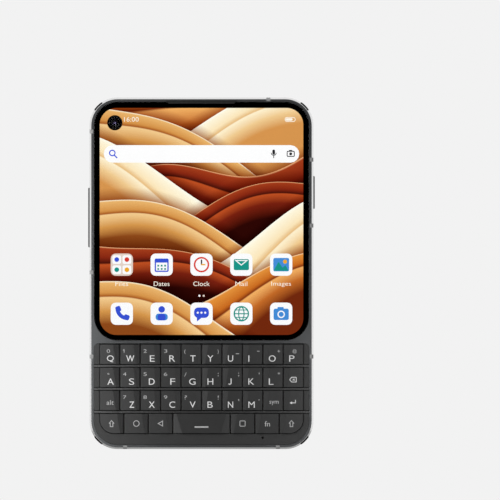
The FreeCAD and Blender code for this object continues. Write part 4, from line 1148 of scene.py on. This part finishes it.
screenLook = {
    "layer": 0.02,  # thickness of one layer of shapes
    "tileSide": 7.45,
    "tileRound": 1.7,
    "tilePitch": 13.35,
    "upperRow": 61.8,
    "lowerRow": 45.35,
    "nameDrop": 6.4,  # from an icon's middle to its name
    "barMiddle": (0, 98.92),
    "barSize": (65.5, 5.85),
    "barSlack": 0.01,  # between the roundings of its upper and lower corners
    "barSigns": {-29.9: "magnifier", 24.2: "microphone", 29.9: "lens"},
    "clockMiddle": (-23.5, 110.5),
    "clockSize": (4.9, 1.55),
    "chargeMiddle": (29.7, 110.45),
    "dots": {-0.7: "white", 0.75: "pearl"},  # the pages' dots, between the rows
    "dotRadius": 0.36,
    "dotDrop": 2.2,
}
# What the icons are called: width, height and how far the word's middle moves up.
iconNames = {
    "Files": (4.3, 1.5, 0),
    "Dates": (5.3, 1.5, 0),
    "Clock": (5.5, 1.5, 0),
    "Mail": (4.0, 1.5, 0),
    "Images": (6.6, 1.85, -0.18),
}
lightTones = {
    "white": ("ffffff", "fafbfd"),
    "cream": ("fff8ea", "fff8ea"),
    "blue": ("3b56dc", "3650cf"),
    "sky": ("4c94dd", "4289d4"),
    "teal": ("1f9d8f", "198f82"),
    "red": ("dd4337", "d53b31"),
    "amber": ("f2b134", "eda72a"),
    "grey": ("222326", "222326"),
    "pearl": ("e6d6cb", "e0cfc3"),
}
lights = {name: lightColour(name + "Light", *codes) for name, codes in lightTones.items()}


def layerFront(level=1):
    # level 1 lies on the panel, level 2 on level 1, and so on
    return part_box("display_panel")[0].y / mm - screenLook["layer"] * level


def lay(corners, light, level=1, rounding=0.0, stroke=0.0):
    layer = screenLook["layer"]
    return flatShape(corners, layerFront(level), layer, lights[light], rounding, stroke)


def layWords(words, middle, size):
    return flatText(words, middle, size, layerFront(), screenLook["layer"], lights["cream"])


# Each sign's shapes from its middle: corners, light, level, rounding and the outline's width.
signShapes = {
    "charge": [
        (box(0, 0, 3.6, 1.6), "cream", 1, 0.75, 0.2),
        (box(-0.35, 0, 2.3, 0.85), "cream", 1, 0.35),
    ],
    "magnifier": [
        (arc(0, 0.3, 1.1), "blue", 2, 0, 0.38),
        (box(1.15, -0.9, 1.35, 0.42, -45), "blue", 2),
    ],
    "microphone": [
        (box(0, 0.6, 0.9, 1.7), "grey", 2, 0.42),
        (strip(0, 0.35, 0.95, 0.7, 180, 180), "grey", 2),
        (box(0, -1.0, 0.26, 0.8), "grey", 2),
    ],
    "lens": [
        (box(0, 0, 2.7, 2.0), "grey", 2, 0.45, 0.3),
        (arc(0, 0, 0.5, count=20), "grey", 2),
        (box(0, 1.1, 1.1, 0.4), "grey", 2, 0.12),
    ],
    "folder": [(box(x, z, 2.9, 2.9), "white", 2, 0.6) for x in (-1.7, 1.7) for z in (-1.7, 1.7)]
    + [
        (arc(x, z, 0.8, count=20), light, 3)
        for x, z, light in (
            (-1.7, 1.7, "blue"), (1.7, 1.7, "red"), (-1.7, -1.7, "teal"), (1.7, -1.7, "amber"),
        )
    ],
    "calendar": [
        (box(0, -0.2, 4.7, 4.5), "blue", 2, 0.5, 0.45),
        (box(0, 1.3, 4.5, 1.25), "blue", 2),
        *((box(x, z, 0.62, 0.62), "teal", 2) for x in (-1.15, 0, 1.15) for z in (-0.35, -1.45)),
    ],
    "clock": [
        (arc(0, 0, 2.6), "red", 2, 0, 0.55),
        (box(0, 0.8, 0.46, 1.8), "grey", 2),
        (box(0.6, 0, 1.4, 0.46), "amber", 3),
    ],
    "envelope": [
        (box(0, 0, 5.1, 3.7), "teal", 2, 0.45),
        ([(-2.3, 1.55), (0, -0.35), (2.3, 1.55)], "white", 3, 0, 0.32),
    ],
    "picture": [
        (box(0, 0, 5.3, 4.5), "sky", 2, 0.5),
        (arc(1.3, 1.0, 0.68, count=20), "amber", 3),
        ([(-2.5, -2.05), (2.5, -2.05), (1.4, -0.2), (0.45, -1.0), (-0.9, 0.95)], "teal", 3),
    ],
    "handset": [
        (strip(1.9, 1.9, 4.05, 2.75, 185, 80), "blue", 2),
        (box(-1.2, 1.6, 1.75, 1.9, 20), "blue", 2, 0.5),
        (box(1.6, -1.2, 1.9, 1.75, -20), "blue", 2, 0.5),
    ],
    "person": [
        (arc(0, 1.45, 1.1), "blue", 2),
        (box(0, -1.1, 4.1, 2.3), "sky", 2, 1.0),
        (box(0, -1.15, 2.7, 2.2), "blue", 3, 0.9),
    ],
    "speech": [
        (box(0, 0.35, 5.0, 3.5), "blue", 2, 1.4),
        ([(-1.6, -0.9), (0.2, -1.2), (-1.5, -2.6)], "blue", 2),
        *((arc(x, 0.35, 0.36, count=16), "white", 3) for x in (-1.25, 0, 1.25)),
    ],
    "globe": [
        (arc(0, 0, 2.6), "teal", 2, 0, 0.45),
        (arc(0, 0, 2.4, squeeze=0.45), "teal", 2, 0, 0.35),
        (box(0, 0, 4.8, 0.36), "teal", 2),
        (box(0, 1.25, 4.1, 0.3), "teal", 2),
        (box(0, -1.25, 4.1, 0.3), "teal", 2),
    ],
    "camera": [
        (box(0, -0.2, 5.1, 3.8), "sky", 2, 0.6),
        (box(-0.2, 1.8, 2.1, 0.9), "sky", 2, 0.3),
        (arc(0, -0.2, 1.25), "white", 3, 0, 0.4),
    ],
}
iconRows = {
    "upperRow": ("folder", "calendar", "clock", "envelope", "picture"),
    "lowerRow": ("handset", "person", "speech", "globe", "camera"),
}


def laySign(name, across, up):
    return [shift(lay(*shape), across, up) for shape in signShapes[name]]


def topShapes():
    # the clock, the battery's charge and the search bar
    look = screenLook
    across, up = look["barMiddle"]
    width, height = look["barSize"]
    shapes = [layWords("16:00", look["clockMiddle"], look["clockSize"])]
    shapes += laySign("charge", *look["chargeMiddle"])
    shapes.append(lay(box(across, up, width, height), "white", 1, height / 2 - look["barSlack"]))
    for place, name in look["barSigns"].items():
        shapes += laySign(name, place, up)
    return shapes


def iconShapes():
    look = screenLook
    shapes = []
    for row, icons in iconRows.items():
        for step, icon in enumerate(icons):
            place = ((step - 2) * look["tilePitch"], look[row])
            light = "pearl" if icon == "folder" else "white"
            tile = box(0, 0, look["tileSide"], look["tileSide"])
            shapes.append(shift(lay(tile, light, 1, look["tileRound"]), *place))
            shapes += laySign(icon, *place)
    for step, (name, (width, height, rise)) in enumerate(iconNames.items()):
        middle = ((step - 2) * look["tilePitch"], look["upperRow"] - look["nameDrop"] + rise)
        shapes.append(layWords(name, middle, (width, height)))
    return shapes


def dressScreen():
    shapes = topShapes() + iconShapes()
    up = (screenLook["upperRow"] + screenLook["lowerRow"]) / 2 - screenLook["dotDrop"]
    for across, light in screenLook["dots"].items():
        shapes.append(lay(arc(across, up, screenLook["dotRadius"], count=16), light))
    mount(join(shapes, "screen_icons"), "phone", "display")


dressScreen()
print("screen made")


# Back cover and rear cameras

backLook = {
    "collarRound": 0.12,
    "windowRound": 0.1,
    "flashPlace": -23,
    "barrelEnd": 0.3,  # how deep the barrels' ends reach
    "flashEnd": 0.01,
    "collarDepth": 0.75,  # how deep the paint on the camera's collar reaches
    "marks": 8,  # printed in a ring about the flash
    "markRing": (2.85, 3.25),
    "markTurn": 24,  # degrees that each mark takes
    "markHeight": 0.01,
}
# Where the rear lenses lie across, their radius, and their tints at the rim and in the middle;
# the lighter middle tint is a painted glint.
rearLenses = {
    "outerLens": (20.5, 1.9, "1d1440", "5a3f9c"),
    "innerLens": (8, 1.9, "0f2a3a", "2f7f8c"),
}


def flashMarks():
    middle = (backLook["flashPlace"], middleOf("camera_window")[1])
    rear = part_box("camera_window")[1].y / mm
    inner, outer = backLook["markRing"]
    turn, height = backLook["markTurn"], backLook["markHeight"]
    marks = []
    for number in range(backLook["marks"]):
        start = 360 / backLook["marks"] * (number + 0.5) - turn / 2
        corners = strip(*middle, outer, inner, start, turn, 6)
        marks.append(flatShape(corners, rear - height, 2 * height, greyInk))
    return marks


def dressBack():
    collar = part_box("back_cover")[1].y - backLook["collarDepth"] * mm
    paints = [(1, lambda face: face.center.y > collar)]
    names, width = "back_cover rear_cover cover_plastic", backLook["collarRound"]
    dress(names, coverPlastic, metalTrim, paints=paints, width=width, segments=3)
    names, width = "camera_window camera_glass window_glass", backLook["windowRound"]
    dress(names, glassBlack, width=width, segments=3, extras=flashMarks())


def dressRearCameras():
    up = middleOf("camera_window")[1]
    sleeve = ((0.12, 0, 2), (0.14, 0, 0), (0.4, 0.03, 1), (0.2, -0.25, 1), (0.05, -0.12, 1))
    well = ((0.3, 0.0, 1), (0.05, -0.15, 1))
    dome = ((0.35, -0.02), (0.3, 0.12), (0.5, 0.09), (0.5, 0.03))
    lenses, carvings = [], []
    for number, (name, (across, *look)) in enumerate(rearLenses.items()):
        lenses.append(lensGlass(name, (across, up), *look))

        def isNear(x, middle=across):
            return abs(x - middle) < 1

        chosen = endFaces("rear_cameras", 1, backLook["barrelEnd"], isNear)
        carvings.append((chosen, sleeve + well + tuple((*step, number + 3) for step in dome)))
    rings = [(0.12, 0, 5)] + [(0.3, 0.03 * side, 5) for side in (-1, 1, -1, 1, -1)]
    flash = endFaces("rear_cameras", 1, backLook["flashEnd"], lambda x: x < 0)
    carvings.append((flash, rings))
    materials = (barrelBlack, insideBlack, plainSteel, *lenses, flashCream)
    dress("rear_cameras rear_camera_barrels lens_black", *materials, carvings=carvings)


dressBack()
dressRearCameras()
print("back made")


# Side keys, card tray and port

sideLook = {"trayRound": 0.08}
portLook = {
    "edgeRound": 0.05,
    "pads": 12,
    "padPitch": 0.5,
    "padSize": (0.28, 4),
    "padUp": 4,
    "padFaces": (0.655, 0.74),  # front and depth, just past the faces of the tongue
    "padRound": 0.05,
}


def dressSides():
    for node, name, material, width in (
        ("volume_key", "volume_bar", metalSide, 0),
        ("power_key", "power_bar", metalSide, 0),
        ("sim_tray", "card_tray", metalFrame, sideLook["trayRound"]),
    ):
        dress(f"{node} {name} side_metal", material, body=node, width=width)


def dressPort():
    look = portLook
    pads = []
    for number in range(look["pads"]):
        across = (number - (look["pads"] - 1) / 2) * look["padPitch"]
        corners = box(across, look["padUp"], *look["padSize"])
        pads.append(flatShape(corners, *look["padFaces"], goldPlate, look["padRound"]))
    names = "usb_port charging_port port_steel"
    dress(names, plainSteel, width=look["edgeRound"], extras=pads)


dressSides()
dressPort()
print("sides made")


# Inside

boardFaces = (0.325, 1.125)  # front and back of the main board


def dressInside():
    carry("battery", batteryWrap)
    carry("loudspeaker", insideBlack)
    carry("screws", plainSteel)
    carry("main_board", circuitBoard("mainBoard", *boardFaces))


dressInside()
print("inside made")

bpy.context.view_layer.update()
